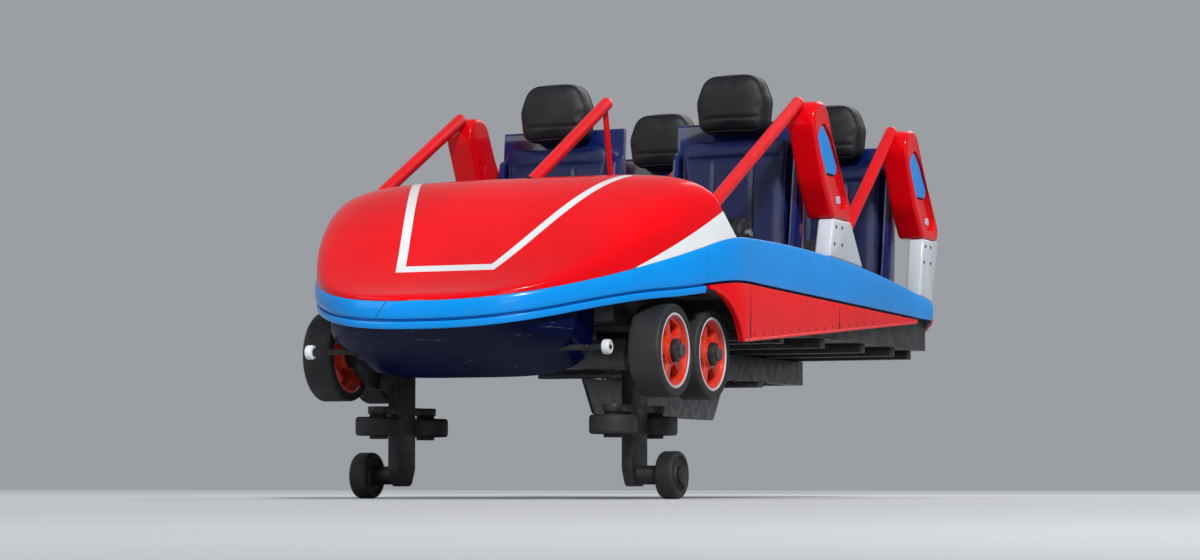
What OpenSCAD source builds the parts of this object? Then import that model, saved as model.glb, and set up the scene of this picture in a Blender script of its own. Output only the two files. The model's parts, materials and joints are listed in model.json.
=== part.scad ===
// Lead car of an articulated roller coaster train: two rows of two seats on one
// four-wheel axle set. Y runs from the nose (negative) to the tail, Z is up, and the
// origin lies midway between the rails, level with their tops, under the axle.

/* [Body shell] */
// Width over the blue side bands
body_w = 1400; // [1370:10:1430]
// Distance from the axle forward to the tip of the nose
nose_reach = 700; // [680:10:740]
// Length over which the nose widens to the full width
nose_len = 900; // [860:10:940]
// Distance from the axle back to the tail
tail_reach = 2160; // [2140:10:2220]
// Height of the band's top edge at the tip of the nose
nose_top_z = 285; // [275:5:300]
// Rise of the band's top edge per millimetre along the nose
nose_rise = 0.281; // [0.26:0.005:0.3]
// Height of the band's top edge where it is highest, beside the front seats
sill_z = 524; // [510:2:540]
// Height of the band at the nose tip
band_h = 55; // [45:5:65]
// Thickness of the band, hood edge and lower panels' lip
band_t = 24; // [18:1:28]
// Height of the hood's crown at its rear edge
hood_crown_z = 726; // [700:2:750]
// Wall thickness of the hood and the belly
shell_t = 8; // [6:1:12]
// Thickness of the rolled rear edge of the hood
rim_t = 22; // [16:1:26]
// Height of the apex of the white side wedge
wedge_z = 595; // [575:5:615]
// Thickness of the floor sheet
floor_t = 6; // [4:1:10]
// Height of the floor's underside, which is the chassis top
deck_z = 232; // [228:1:240]
// Thickness of the inner side liners
liner_t = 26; // [20:1:32]

/* [Seats] */
// Distance between the two seat rows
row_pitch = 990; // [970:5:1010]
// Distance of a seat shell's inner side from the car's centre plane
seat_inner_x = 105; // [95:5:125]
// Clearance between a seat shell and the wing beside it
seat_gap = 24; // [18:2:40]
// Wall thickness of a seat shell
seat_t = 28; // [20:1:34]
// Height of a seat shell's underside above the floor sheet
seat_rise = 32; // [28:1:45]
// Thickness of a seat cushion
cushion_t = 95; // [80:5:105]
// Thickness of a backrest pad
back_pad_t = 60; // [50:5:70]
// Height of the seat shell's back above its underside
shell_h = 730; // [700:10:760]
// Width of a headrest
headrest_w = 270; // [240:10:300]
// Height of a headrest
headrest_h = 205; // [180:5:220]
// Depth of a headrest
headrest_d = 105; // [90:5:115]
// Thickness of a side wing
wing_t = 100; // [90:2:108]
// Thickness of the light panel under a side wing
side_t = 60; // [50:2:70]
// Depth of the recess in a wing's outer face
wing_recess = 14; // [8:1:18]

/* [Rails and lap bars] */
// Outer diameter of the grab rails
rail_d = 44; // [38:1:48]
// Outer diameter of the thin strut under a centre rail
strut_d = 20; // [16:1:24]
// Diameter of a lap bar's tube
bar_d = 42; // [36:1:46]
// Diameter of a lap bar's pad
bar_pad_d = 110; // [95:5:120]
// Length of a lap bar's pad
bar_pad_w = 370; // [340:5:400]
// Diameter of a lap bar's hinge shaft
hinge_d = 30; // [25:1:34]
// Diameter of a lap bar's hinge barrel
barrel_d = 58; // [50:1:62]
// Width of a lap bar's hinge barrel
barrel_w = 96; // [90:2:104]
// Thickness of a hinge lug
lug_t = 12; // [10:1:14]

/* [Chassis and coupling] */
// Width of a chassis beam
beam_w = 60; // [50:2:70]
// Height of a chassis beam
beam_h = 90; // [80:2:96]
// Distance of a chassis beam's centre from the centre plane
beam_x = 150; // [140:2:170]
// Thickness of the deck plate over the axle
saddle_t = 32; // [28:1:34]
// Diameter of the axle's kingpin
kingpin_d = 60; // [50:1:66]
// Distance from the tail to the coupling pin
coupling_reach = 190; // [170:5:230]
// Bore of the rear coupling
coupling_d = 40; // [36:1:44]
// Height of the brake fin
fin_h = 120; // [100:5:130]

/* [Wheels] */
// Distance between the centres of the two rails
gauge = 1136; // [1130:2:1142]
// Outer diameter of the rail tubes that the wheels run on
track_d = 164; // [160:1:168]
// Diameter of a running wheel
run_d = 290; // [280:2:294]
// Width of a running wheel's tyre
run_w = 104; // [96:2:106]
// Distance between the two running wheels of a side
run_pitch = 310; // [306:2:316]
// Radial thickness of a running wheel's tyre
run_tyre_t = 25; // [20:1:30]
// Diameter of a running wheel's axle
run_axle_d = 50; // [44:1:54]
// Diameter of a guide wheel and of an upstop wheel
guide_d = 150; // [146:1:154]
// Width of a guide wheel and of an upstop wheel
guide_w = 60; // [54:1:64]
// Distance between the two guide wheels of a side
guide_pitch = 330; // [326:2:340]
// Diameter of a guide or upstop wheel's axle
guide_axle_d = 40; // [34:1:44]
// Diameter of the stub on which a wheel carrier rocks
stub_d = 70; // [60:1:74]
// Height of the axle beam
axle_h = 90; // [80:2:92]
// Depth of the axle beam along the car
axle_depth = 110; // [96:2:116]
// Thickness of a wheel carrier's side plate
carrier_t = 30; // [26:1:32]

/* [Hidden] */
$fn = 64;

// Clearances: a seam between fixed pieces, a pin in its bore, and a moving piece
seam = 0.3;
fit = 0.05;
run_gap = 6;

// Body outline
half_w = body_w / 2;
nose_y = -nose_reach;
full_y = nose_len - nose_reach;
tail_y = tail_reach;
inner_x = half_w - band_t - seam;
rows = [0, row_pitch];
arch_y = 500;
arch_flat = 25300;
groove = 8;
lip_h = 22;
band_split_y = -16;

// Floor and seats, heights above the rail
floor_z = deck_z + floor_t;
seat_z = floor_z + seat_rise;
seat_top_z = seat_z + seat_t + cushion_t;
seat_front_y = 610;
seat_back_y = 1118;
shell_top_z = seat_z + shell_h;
headrest_z = shell_top_z - 46;
wing_x = half_w - 1 - wing_t;
side_x = half_w - 1 - side_t;
side_rail_x = half_w - 60;
seat_w = wing_x - seat_gap - seat_inner_x;
seat_x = seat_inner_x + seat_w / 2;
wing_front_y = seat_front_y + 231;
wing_top_z = shell_top_z + 40;

// Wheels
rail_x = gauge / 2;
wheel_z = run_d / 2;
guide_x = rail_x - track_d / 2 - guide_d / 2;
guide_z = -track_d / 2;
upstop_z = -track_d - guide_d / 2;
upstop_x = rail_x - 28;
run_in_x = rail_x - run_w / 2;
run_out_x = rail_x + run_w / 2;
carrier_x = run_in_x - 24 - carrier_t;
leg_x = guide_x - 16;
leg_t = 36;
leg_hw = 62;
leg_top_z = wheel_z - axle_h / 2 - 10;

// Lap bars
hinge_y = 470;
hinge_z = floor_z + 54;
pad_y = 700;
pad_z = 572;

// Colours
red = [0.9, 0.03, 0.08];
blue = [0.04, 0.5, 0.92];
white = [0.93, 0.94, 0.95];
navy = [0.02, 0.04, 0.16];
grey = [0.62, 0.63, 0.66];
dark = [0.08, 0.08, 0.1];
steel = [0.45, 0.47, 0.5];
orange = [0.9, 0.2, 0.08];

function clamp(v, lo, hi) = max(lo, min(hi, v));
function smooth(t) = let (c = clamp(t, 0, 1)) c * c * (3 - 2 * c);
function soft_min(a, b, k) = let (h = clamp(0.5 + 0.5 * (b - a) / k, 0, 1))
    b * (1 - h) + a * h - k * h * (1 - h);
function hermite(t, m0, m1) = let (t2 = t * t, t3 = t2 * t)
    (t3 - 2 * t2 + t) * m0 + 3 * t2 - 2 * t3 + (t3 - t2) * m1;

// Plan outline: a rounded nose that reaches the full width at full_y
function half_at(y) = y >= full_y ? half_w
    : half_w * pow(max(0, 1 - pow((full_y - y) / nose_len, 1.5)), 0.4);
function plan_point(a) = [sign(a) * half_w * pow(abs(sin(a)), 0.8),
    full_y - nose_len * pow(cos(a), 4 / 3)];
function plan_angle(y) = acos(pow(clamp((full_y - y) / nose_len, 0, 1), 0.75));
function plan_normal(a) = let (p = plan_point(a - 0.6), q = plan_point(a + 0.6),
    d = q - p, l = norm(d)) [d[1], -d[0]] / l;

// Heights of the band's edges along the car
function band_top(y) = soft_min(nose_top_z + nose_rise * (y - nose_y),
    sill_z - pow(y - arch_y, 2) / arch_flat, 30);
function band_depth(y) = band_h + lookup(y, [[nose_y, 0], [-380, 3], [-16, 65], [500, 99],
    [738, 86], [1400, 78], [2016, 30], [2160, 14]]);
function band_bottom(y) = band_top(y) - band_depth(y);

// Hood surface: superellipse sections from the band's top edge to the crown line
tip_h = 17;
tip_len = 30;
function crown_z(y) = let (t = (y - nose_y) / (hood_end(1) - nose_y))
    nose_top_z + tip_h * sqrt(1 - pow(1 - clamp((y - nose_y) / tip_len, 0, 1), 2))
    + (hood_crown_z - nose_top_z - tip_h) * hermite(t, 0.5, 0.09);
function hood_end(k) = k < 0.5 ? 80 - 33 * smooth(2 * k) : 47 + 44 * smooth(2 * k - 1);
function hood_point(a, y, inset) = let (hw = max(1, half_at(y) - inset), zb = band_top(y) + seam,
    zc = max(zb + 2, crown_z(y) - inset))
    [sign(cos(a)) * hw * sqrt(abs(cos(a))), y, zb + (zc - zb) * pow(sin(a), 0.353)];
// Angle at which the white wedge ends and the red hood begins
wedge_y = -330;
wedge_end_y = 80;
wedge_tip_y = 166;
function wedge_top(y) = band_top(wedge_y) + (wedge_z - band_top(wedge_y))
    * (y - wedge_y) / (wedge_end_y - wedge_y);
function wedge_angle(y) = y <= wedge_y ? 0
    : asin(pow(clamp((wedge_top(y) - band_top(y)) / (crown_z(y) - band_top(y)), 0, 0.9), 2.833));

// A solid between two equal grids of points, outer and inner
module panel(outer, inner) {
    m = len(outer);
    n = len(outer[0]);
    pts = concat([for (r = outer) each r], [for (r = inner) each r]);
    function o(j, k) = j * n + k;
    function i(j, k) = m * n + j * n + k;
    faces = concat(
        [for (j = [0:m - 2], k = [0:n - 2]) each [
            [o(j, k), o(j + 1, k + 1), o(j + 1, k)], [o(j, k), o(j, k + 1), o(j + 1, k + 1)],
            [i(j, k), i(j + 1, k), i(j + 1, k + 1)], [i(j, k), i(j + 1, k + 1), i(j, k + 1)]]],
        [for (j = [0:m - 2]) each [
            [o(j, 0), i(j + 1, 0), i(j, 0)], [o(j, 0), o(j + 1, 0), i(j + 1, 0)],
            [o(j, n - 1), i(j, n - 1), i(j + 1, n - 1)],
            [o(j, n - 1), i(j + 1, n - 1), o(j + 1, n - 1)]]],
        [for (k = [0:n - 2]) each [
            [o(0, k), i(0, k), i(0, k + 1)], [o(0, k), i(0, k + 1), o(0, k + 1)],
            [o(m - 1, k), i(m - 1, k + 1), i(m - 1, k)],
            [o(m - 1, k), o(m - 1, k + 1), i(m - 1, k + 1)]]]);
    polyhedron(pts, faces, convexity = 6);
}

// A solid through a row of rings with equal numbers of points
module loft(rings) {
    m = len(rings);
    n = len(rings[0]);
    faces = concat(
        [[for (k = [n - 1:-1:0]) k]],
        [[for (k = [0:n - 1]) (m - 1) * n + k]],
        [for (j = [0:m - 2], k = [0:n - 1]) let (k2 = (k + 1) % n) each [
            [j * n + k, (j + 1) * n + k2, (j + 1) * n + k],
            [j * n + k, j * n + k2, (j + 1) * n + k2]]]);
    polyhedron([for (r = rings) each r], faces, convexity = 6);
}

// Corner points of an outline with each corner rounded; rows are [x, y, radius]
function round_corner(p, q, r, n = 5) = let (
    a = [p[0], p[1]], b = [q[0], q[1]], c = [r[0], r[1]],
    u = (a - b) / norm(a - b), v = (c - b) / norm(c - b),
    half = acos(clamp(u * v, -1, 1)) / 2, w = (u + v) / norm(u + v),
    centre = b + w * q[2] / sin(half), from = b + u * q[2] / tan(half),
    to = b + v * q[2] / tan(half), s = from - centre, e = to - centre,
    turn = s[0] * e[1] - s[1] * e[0] > 0 ? 1 : -1, sweep = turn * (180 - 2 * half))
    [for (i = [0:n]) let (t = sweep * i / n)
        centre + [s[0] * cos(t) - s[1] * sin(t), s[0] * sin(t) + s[1] * cos(t)]];
function rounded(pts) = let (n = len(pts)) [for (i = [0:n - 1])
    each pts[i][2] <= 0 ? [[pts[i][0], pts[i][1]]]
        : round_corner(pts[(i + n - 1) % n], pts[i], pts[(i + 1) % n])];

// Outline given in Y and Z, made thick along X from x to x + t
module plate_x(x, t) {
    translate([x, 0, 0]) rotate([90, 0, 90]) linear_extrude(t) children();
}

// Outline given in X and Z, made thick along Y from y to y + t
module plate_y(y, t) {
    translate([0, y + t, 0]) rotate([90, 0, 0]) linear_extrude(t) children();
}

module bar_x(x, y, z, d, l) {
    translate([x, y, z]) rotate([0, 90, 0]) cylinder(d = d, h = l);
}

module both_sides() {
    children();
    mirror([1, 0, 0]) children();
}

// Straight round tube between two points
module rod(p, q, d) {
    v = q - p;
    l = norm(v);
    translate(p) rotate([0, acos(v[2] / l), atan2(v[1], v[0])]) cylinder(d = d, h = l);
}

// Round tube in the plane x = 0 through rows of [y, z, bend radius]
module tube_path(path, d, sides = 16) {
    n = len(path);
    pts = [for (i = [0:n - 1]) each i == 0 || i == n - 1 ? [[path[i][0], path[i][1]]]
        : round_corner(path[i - 1], path[i], path[i + 1])];
    m = len(pts);
    loft([for (i = [0:m - 1]) let (v = pts[min(i + 1, m - 1)] - pts[max(i - 1, 0)], t = v / norm(v))
        [for (k = [0:sides - 1]) let (c = d / 2 * cos(360 * k / sides), e = d / 2 * sin(360 * k / sides))
            [-e, pts[i][0] - t[1] * c, pts[i][1] + t[0] * c]]]);
}

// Red hood, from the nose tip to the coaming between the side wedges
hood_rows = 15;
hood_cols = 15;
function hood_step(j) = 0.0003 + 0.9997 * (1 - pow(cos(90 * j / hood_rows), 1.15));
function hood_side(k) = 1 - abs(2 * k - 1);
function hood_grid(inner) = [for (j = [0:hood_rows]) let (t = hood_step(j)) [
    for (i = [0:2 * hood_cols]) let (
        k = hood_side(i / (2 * hood_cols)),
        y = nose_y + (hood_end(k) - nose_y) * t,
        th = inner ? (t > 0.93 ? rim_t : shell_t) : 0,
        yy = y + 4 * th * pow(1 - t, 4),
        a0 = wedge_angle(yy),
        a = a0 + (90 - a0) * pow(k, 1.6))
        hood_point(i <= hood_cols ? a : 180 - a, yy, th)]];
module nose_hood() {
    color(red) panel(hood_grid(false), hood_grid(true));
}

// White wedges along the foot of the hood's sides
wedge_rows = 10;
wedge_cols = 5;
function wedge_grid(inset) = [for (j = [0:wedge_rows]) [
    for (i = [0:wedge_cols]) let (
        k = i / wedge_cols,
        end = wedge_tip_y + (wedge_end_y - wedge_tip_y) * k,
        y = wedge_y + 14 + (end - wedge_y - 14) * j / wedge_rows,
        zb = band_top(y) + seam,
        z = zb + (min(wedge_top(y), wedge_z) - zb) * k,
        f = clamp((z - zb) / max(10, crown_z(min(y, hood_end(1))) - zb), 0, 0.98))
        [(half_at(y) - inset) * pow(1 - pow(f, 5.66), 0.25), y, z - inset * f]]];
module side_wedges() {
    color(white) both_sides() panel(wedge_grid(0), wedge_grid(shell_t));
}

// Blue band round the nose, with the thin lip under its shadow gap
function band_ring(a, y) = let (p = plan_point(a), n = plan_normal(a),
    zt = band_top(y), zb = band_bottom(y), h = zt - zb)
    [for (c = [[-band_t, zb - groove - lip_h], [-3, zb - groove - lip_h], [-1, zb - groove],
        [-14, zb - groove], [-14, zb], [0, zb], [5, zb + 0.35 * h], [4, zb + 0.7 * h],
        [0, zt], [-band_t, zt]])
        [p[0] + n[0] * c[0], p[1] + n[1] * c[0], c[1]]];
module nose_band() {
    end = plan_angle(band_split_y);
    color(blue) loft([for (i = [-14:14]) let (a = end * i / 14) band_ring(a, plan_point(a)[1])]);
}

// Blue bands along the sides, arched over the front seats
band_steps = 26;
function side_point(y) = let (d = 4, v = [half_at(y + d) - half_at(y - d), 2 * d])
    [half_at(y), y, v[1] / norm(v), -v[0] / norm(v)];
function side_ring(y) = let (p = side_point(y), zt = band_top(y), zb = band_bottom(y), h = zt - zb)
    [for (c = [[-band_t, zb], [0, zb], [5, zb + 0.35 * h], [4, zb + 0.7 * h], [0, zt],
        [-band_t, zt]]) [p[0] + p[2] * c[0], p[1] + p[3] * c[0], c[1]]];
module side_bands() {
    start = band_split_y + 1;
    color(blue) both_sides()
        loft([for (i = [0:band_steps]) side_ring(start + (tail_y - start) * i / band_steps)]);
}

// Red panels under the side bands, cut away over the wheels
arch_c = [-20, 70];
arch_r = 278;
panel_low = [232, 188];
panel_end_y = 2000;
function panel_top(y) = band_bottom(y) - groove;
function panel_bottom(y) = y < panel_low[0]
    ? arch_c[1] + sqrt(pow(arch_r, 2) - pow(y - arch_c[0], 2))
    : panel_low[1] + (panel_top(panel_end_y) - 12 - panel_low[1])
        * (y - panel_low[0]) / (panel_end_y - panel_low[0]);
function panel_ring(y) = let (p = side_point(y), zt = panel_top(y),
    zb = min(panel_bottom(y), zt - 1))
    [for (c = [[-band_t, zb], [-4, zb], [-3, zt], [-band_t, zt]])
        [p[0] + p[2] * c[0], p[1] + p[3] * c[0], c[1]]];
module lower_panels() {
    color(red) both_sides()
        loft([for (y = [8, 40, 80, 120, 160, 200, 232, 320, 480, 700, 1000, 1300, 1600, 1850, 2000])
            panel_ring(y)]);
}

// Liners inside the side bands, from the floor to the sill
liner_y = 384;
module side_liners() {
    end = tail_y - 6;
    outline = concat([[liner_y, floor_z + seam], [end, floor_z + seam]],
        [for (i = [12:-1:0]) let (y = liner_y + (end - liner_y) * i / 12) [y, band_top(y)]]);
    color(grey) both_sides() plate_x(inner_x - seam - liner_t, liner_t) polygon(outline);
}

// Rear panel between the ends of the side bands
tail_t = 18;
module tail_panel() {
    zt = band_top(tail_y);
    hw = half_w - 1;
    color(red) plate_y(tail_y + seam, tail_t)
        polygon(rounded([[-hw, zt, 12], [hw, zt, 12], [hw, zt - 80, 20], [hw - 90, floor_z, 30],
            [-hw + 90, floor_z, 30], [-hw, zt - 80, 20]]));
}

// Dark fairing under the nose, open behind
belly_rows = 9;
belly_cols = 9;
belly_front = nose_y + 70;
belly_rear = -330;
belly_hw = 420;
belly_fit = 3.5;
function belly_half(y) = soft_min(half_at(y) - (band_t + belly_fit) / side_point(y)[2], belly_hw, 20);
function belly_top(y) = band_bottom(y) - groove - lip_h + 14;
function belly_low(y) = let (t = (y - belly_front) / (belly_rear - belly_front))
    belly_top(belly_front) - 16 - (belly_top(belly_front) - 16 - 64) * pow(t, 0.9);
function belly_grid(inset) = [for (j = [0:belly_rows]) let (
    y = belly_front + (belly_rear - belly_front) * pow(j / belly_rows, 1.25),
    yy = y + inset * 3 * pow(1 - j / belly_rows, 2), zt = belly_top(yy),
    zb = min(zt - 3, belly_low(yy) + inset), hw = belly_half(yy) - inset)
    [for (i = [0:2 * belly_cols]) let (k = hood_side(i / (2 * belly_cols)), a = 90 * pow(k, 1.5))
        [(i <= belly_cols ? -1 : 1) * hw * sqrt(cos(a)), yy, zt - (zt - zb) * pow(sin(a), 0.42)]]];
module nose_belly() {
    color(navy) panel(belly_grid(0), belly_grid(shell_t));
}

// Floor sheet with raised boxes over the wheels
box_y = 372;
box_x = carrier_x - 6;
box_z = 330;
front_floor_y = -500;
module plan_area(inset, y0, y1) {
    edge = [for (i = [0:10]) let (p = side_point(y0 + (y1 - y0) * i / 10)) [p[0] - inset / p[2], p[1]]];
    polygon(concat(edge, [for (i = [10:-1:0]) [-edge[i][0], edge[i][1]]]));
}
module floor_pan() {
    edge = band_t + 4;
    front_hw = belly_half(front_floor_y) - shell_t - 30;
    rear_hw = belly_half(belly_rear) - shell_t - 10;
    box_front = -300;
    color(grey) union() {
        translate([0, 0, deck_z]) linear_extrude(floor_t) {
            translate([-inner_x + 1, box_y]) square([2 * inner_x - 2, tail_y - 4 - box_y]);
            polygon([[-box_x, box_y], [-box_x, box_front], [-rear_hw, belly_rear],
                [-front_hw, front_floor_y], [front_hw, front_floor_y], [rear_hw, belly_rear],
                [box_x, box_front], [box_x, box_y]]);
        }
        for (s = [-1, 1]) {
            intersection() {
                union() {
                    translate([s > 0 ? box_x - floor_t : -inner_x, box_front, box_z])
                        cube([inner_x - box_x + floor_t, box_y - box_front + floor_t, floor_t]);
                    translate([s > 0 ? box_x - floor_t : -inner_x, box_y, deck_z])
                        cube([inner_x - box_x + floor_t, floor_t, box_z - deck_z + floor_t]);
                }
                translate([0, 0, deck_z]) linear_extrude(150)
                    plan_area(edge, box_front, box_y + floor_t);
            }
            translate([s > 0 ? box_x - floor_t : -box_x, box_front, deck_z])
                cube([floor_t, box_y - box_front + floor_t, box_z - deck_z + floor_t]);
        }
    }
}

// Round fittings held out from the sides of the belly on short arms
fitting = [500, -438, 147];
function belly_x(y, z) = let (t = (belly_top(y) - z) / (belly_top(y) - belly_low(y)))
    belly_half(y) * sqrt(cos(asin(pow(t, 1 / 0.42))));
module side_fittings() {
    arm_x = belly_x(fitting[1], fitting[2]) - 20;
    skin = belly_grid(-3 * seam);
    top = [for (row = skin) [for (p = row) [p[0], p[1], belly_top(p[1]) + 1]]];
    color(white) both_sides() difference() {
        union() {
            bar_x(arm_x, fitting[1], fitting[2], 18, fitting[0] - arm_x);
            bar_x(fitting[0] - 1, fitting[1], fitting[2], 46, 24);
        }
        panel(skin, top);
    }
}

// Box beams, stopped short of the axle in the middle
layer_t = saddle_t;
beam_z = deck_z - layer_t - beam_h;
beam_out = beam_x + beam_w / 2;
saddle_y = 170;
saddle_lap = 60;
frame_front = -392;
frame_rear = tail_y - 8;
module chassis_beams() {
    color(dark) both_sides() for (y = [[frame_front, -saddle_y], [saddle_y, frame_rear]])
        translate([beam_x - beam_w / 2, y[0], beam_z]) cube([beam_w, y[1] - y[0], beam_h]);
}

// Cross members between the beams and the floor, and the saddle plate over the axle
cross_w = 50;
module cross_members() {
    z = deck_z - layer_t + seam;
    h = layer_t - 2 * seam;
    wide = inner_x - 16;
    color(dark) {
        for (c = [[frame_front, belly_half(frame_front) - shell_t - 24], [box_y + 20, wide],
            [rows[0] + 640, wide], [rows[0] + 1040, wide], [rows[1] + 470, wide],
            [rows[1] + 800, wide], [frame_rear - cross_w, inner_x - 56]])
            translate([-c[1], c[0], z]) cube([2 * c[1], cross_w, h]);
        difference() {
            translate([-beam_out, -saddle_y - saddle_lap, z])
                cube([2 * beam_out, 2 * (saddle_y + saddle_lap), h]);
            translate([0, 0, z - 1]) cylinder(d = kingpin_d + 2 * fit, h = h + 2);
        }
    }
}

// Draw tongue behind the tail, with an upright bore for the next car's pin
coupling_y = tail_y + coupling_reach;
coupling_z = beam_z + 30;
module rear_coupling() {
    t = 44;
    plate_t = 20;
    y0 = frame_rear + seam;
    eye_d = coupling_d + 56;
    color(steel) difference() {
        union() {
            translate([-beam_out, y0, beam_z]) cube([2 * beam_out, plate_t, beam_h]);
            translate([0, 0, coupling_z + 6]) linear_extrude(t) polygon([[-100, y0 + 10], [100, y0 + 10],
                [eye_d / 2 - 8, coupling_y], [-eye_d / 2 + 8, coupling_y]]);
            translate([0, coupling_y, coupling_z]) cylinder(d = eye_d, h = t + 12);
        }
        translate([0, coupling_y, coupling_z - 4]) cylinder(d = coupling_d, h = t + 20);
    }
}

// Brake fin hung under the beams by three cross ties
fin_y = [520, 1780];
module brake_fin() {
    t = 12;
    tie_t = 20;
    tie_w = 60;
    top = beam_z - tie_t - 2 * seam;
    color(steel) {
        plate_x(-t / 2, t) polygon(rounded([[fin_y[0], top, 0], [fin_y[0] + 90, top - fin_h, 30],
            [fin_y[1] - 90, top - fin_h, 30], [fin_y[1], top, 0]]));
        for (y = [fin_y[0] + 30, (fin_y[0] + fin_y[1] - tie_w) / 2, fin_y[1] - 30 - tie_w])
            translate([-beam_out, y, top + seam]) cube([2 * beam_out, tie_w, tie_t]);
    }
}

// Steel pedestals: a console between the seats of a row, with a column for the next grab rail
console_hw = 60;
console_h = 190;
column_top = 760;
column_y = row_pitch + hood_end(1);
module seat_frames() {
    color(dark) for (y0 = rows) translate([0, y0, 0]) union() {
        plate_x(-console_hw, 2 * console_hw) polygon(rounded([[620, floor_z + seam, 0],
            [column_y, floor_z + seam, 0], [column_y, floor_z + console_h + 60, 0],
            [column_y - 70, floor_z + console_h, 40], [700, floor_z + console_h, 40],
            [620, floor_z + 90, 30]]));
        plate_x(-36, 72) polygon(rounded([[column_y - 62, floor_z + 60, 0], [column_y, floor_z + 60, 0],
            [column_y, column_top, 18], [column_y - 50, column_top, 24]]));
        for (y = [660, 990])
            translate([-inner_x + liner_t + 2, y, floor_z + seam])
                cube([2 * (inner_x - liner_t - 2), 50, seat_rise - 2 * seam]);
    }
}

// Moulded seat shells: a pan and back with raised side walls
module seat_profile(t) {
    b = seat_back_y;
    polygon(rounded([[seat_front_y, seat_z, 14], [b - 30, seat_z, 40], [b + 22, shell_top_z, 12],
        [b + 22 - t, shell_top_z, 12], [b - 30 - t, seat_z + t, 24], [seat_front_y, seat_z + t, 12]]));
}
module seat_wall() {
    b = seat_back_y;
    polygon(rounded([[seat_front_y + 20, seat_z, 14], [b - 30, seat_z, 40], [b + 15, shell_top_z - 90, 12],
        [b - 46, shell_top_z - 110, 30], [b - 96, seat_z + 330, 60], [b - 130, seat_z + 165, 80],
        [seat_front_y + 90, seat_z + 120, 40], [seat_front_y + 20, seat_z + 60, 20]]));
}
shell_wall = 20;
module seat_shells() {
    color(navy) for (y0 = rows, s = [-1, 1]) translate([s * seat_x, y0, 0]) union() {
        plate_x(-seat_w / 2 + 1, seat_w - 2) seat_profile(seat_t);
        for (x = [-seat_w / 2, seat_w / 2 - shell_wall]) plate_x(x, shell_wall) seat_wall();
    }
}

pad_w = seat_w - 2 * shell_wall - 8;
module seat_cushions() {
    y0 = seat_front_y + 14;
    y1 = seat_back_y - 30 - seat_t - 8;
    z = seat_z + seat_t + seam;
    color(navy) for (r = rows, s = [-1, 1])
        translate([s * seat_x, r, 0]) plate_x(-pad_w / 2, pad_w) polygon(rounded([[y0, z, 20],
            [y1, z, 20], [y1, z + cushion_t - 12, 20], [y0 + 90, z + cushion_t, 60],
            [y0, z + cushion_t - 20, 34]]));
}

// Front face of a shell's back at height z
function back_at(z) = seat_back_y - 30 - seat_t + (z - seat_z - seat_t) * 52 / (shell_h - seat_t);
module back_pads() {
    z0 = seat_top_z + 6;
    z1 = shell_top_z - 60;
    y0 = back_at(z0) - 2 * seam;
    y1 = back_at(z1) - 2 * seam;
    color(navy) for (r = rows, s = [-1, 1])
        translate([s * seat_x, r, 0]) plate_x(-pad_w / 2 + 6, pad_w - 12) polygon(rounded([[y0, z0, 16],
            [y1, z1, 16], [y1 - back_pad_t, z1 - 20, 24], [y0 - back_pad_t, z0, 24]]));
}

// Headrests on the top of the shells, reaching forward over the back pads
module headrests() {
    y0 = back_at(headrest_z) - 2 * seam - headrest_d;
    hw = headrest_w / 2;
    z = headrest_z;
    h = headrest_h;
    color(dark) for (r = rows, s = [-1, 1]) translate([s * seat_x, r, 0]) plate_y(y0, headrest_d)
        polygon(rounded([[-hw + 16, z, 30], [hw - 16, z, 30], [hw, z + h * 0.55, 50], [hw - 34, z + h, 60],
            [-hw + 34, z + h, 60], [-hw, z + h * 0.55, 50]]));
}

// Light panels between the sill and the wings, beside each seat
side_panel_z = 648;
module seat_side_outline(r) {
    front = r + wing_front_y;
    y0 = front + 196;
    y1 = min(front + 544, tail_y + tail_t);
    n = 8;
    polygon(concat([[front + 417, side_panel_z], [front + 240, side_panel_z]], [for (i = [0:n])
        let (y = y0 + (y1 - y0) * i / n) [y, band_top(min(y, tail_y)) + 2 * seam]]));
}
module seat_sides() {
    color(grey) both_sides() for (r = rows) plate_x(side_x, side_t) seat_side_outline(r);
}

// Red wings beside the headrests, each with a recess in its outer face
module wing_outline() {
    y = wing_front_y;
    z = wing_top_z;
    polygon(rounded([[y, z, 70], [y + 171, z, 80], [y + 251, z - 135, 160], [y + 415, z - 335, 60],
        [y + 421, side_panel_z + seam, 26], [y + 237, side_panel_z + seam, 30], [y + 144, z - 280, 200]]));
}
module wing_recess_outline() {
    y = wing_front_y;
    z = wing_top_z;
    polygon(rounded([[y + 80, z - 132, 24], [y + 140, z - 62, 40], [y + 232, z - 118, 90],
        [y + 372, z - 312, 40], [y + 372, z - 356, 26], [y + 268, z - 356, 26], [y + 168, z - 240, 30]]));
}
module wing_inset_outline() {
    y = wing_front_y;
    z = wing_top_z;
    polygon(rounded([[y + 84, z - 134, 22], [y + 139, z - 68, 34], [y + 210, z - 124, 60],
        [y + 316, z - 240, 24], [y + 172, z - 240, 20]]));
}
module side_wings() {
    color(red) both_sides() for (r = rows) translate([0, r, 0]) difference() {
        plate_x(wing_x, wing_t) wing_outline();
        plate_x(wing_x + wing_t - wing_recess, wing_recess + 5) wing_recess_outline();
    }
}
module wing_insets() {
    color(blue) both_sides() for (r = rows) translate([0, r, 0])
        plate_x(wing_x + wing_t - wing_recess + seam, 6) wing_inset_outline();
}

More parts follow.
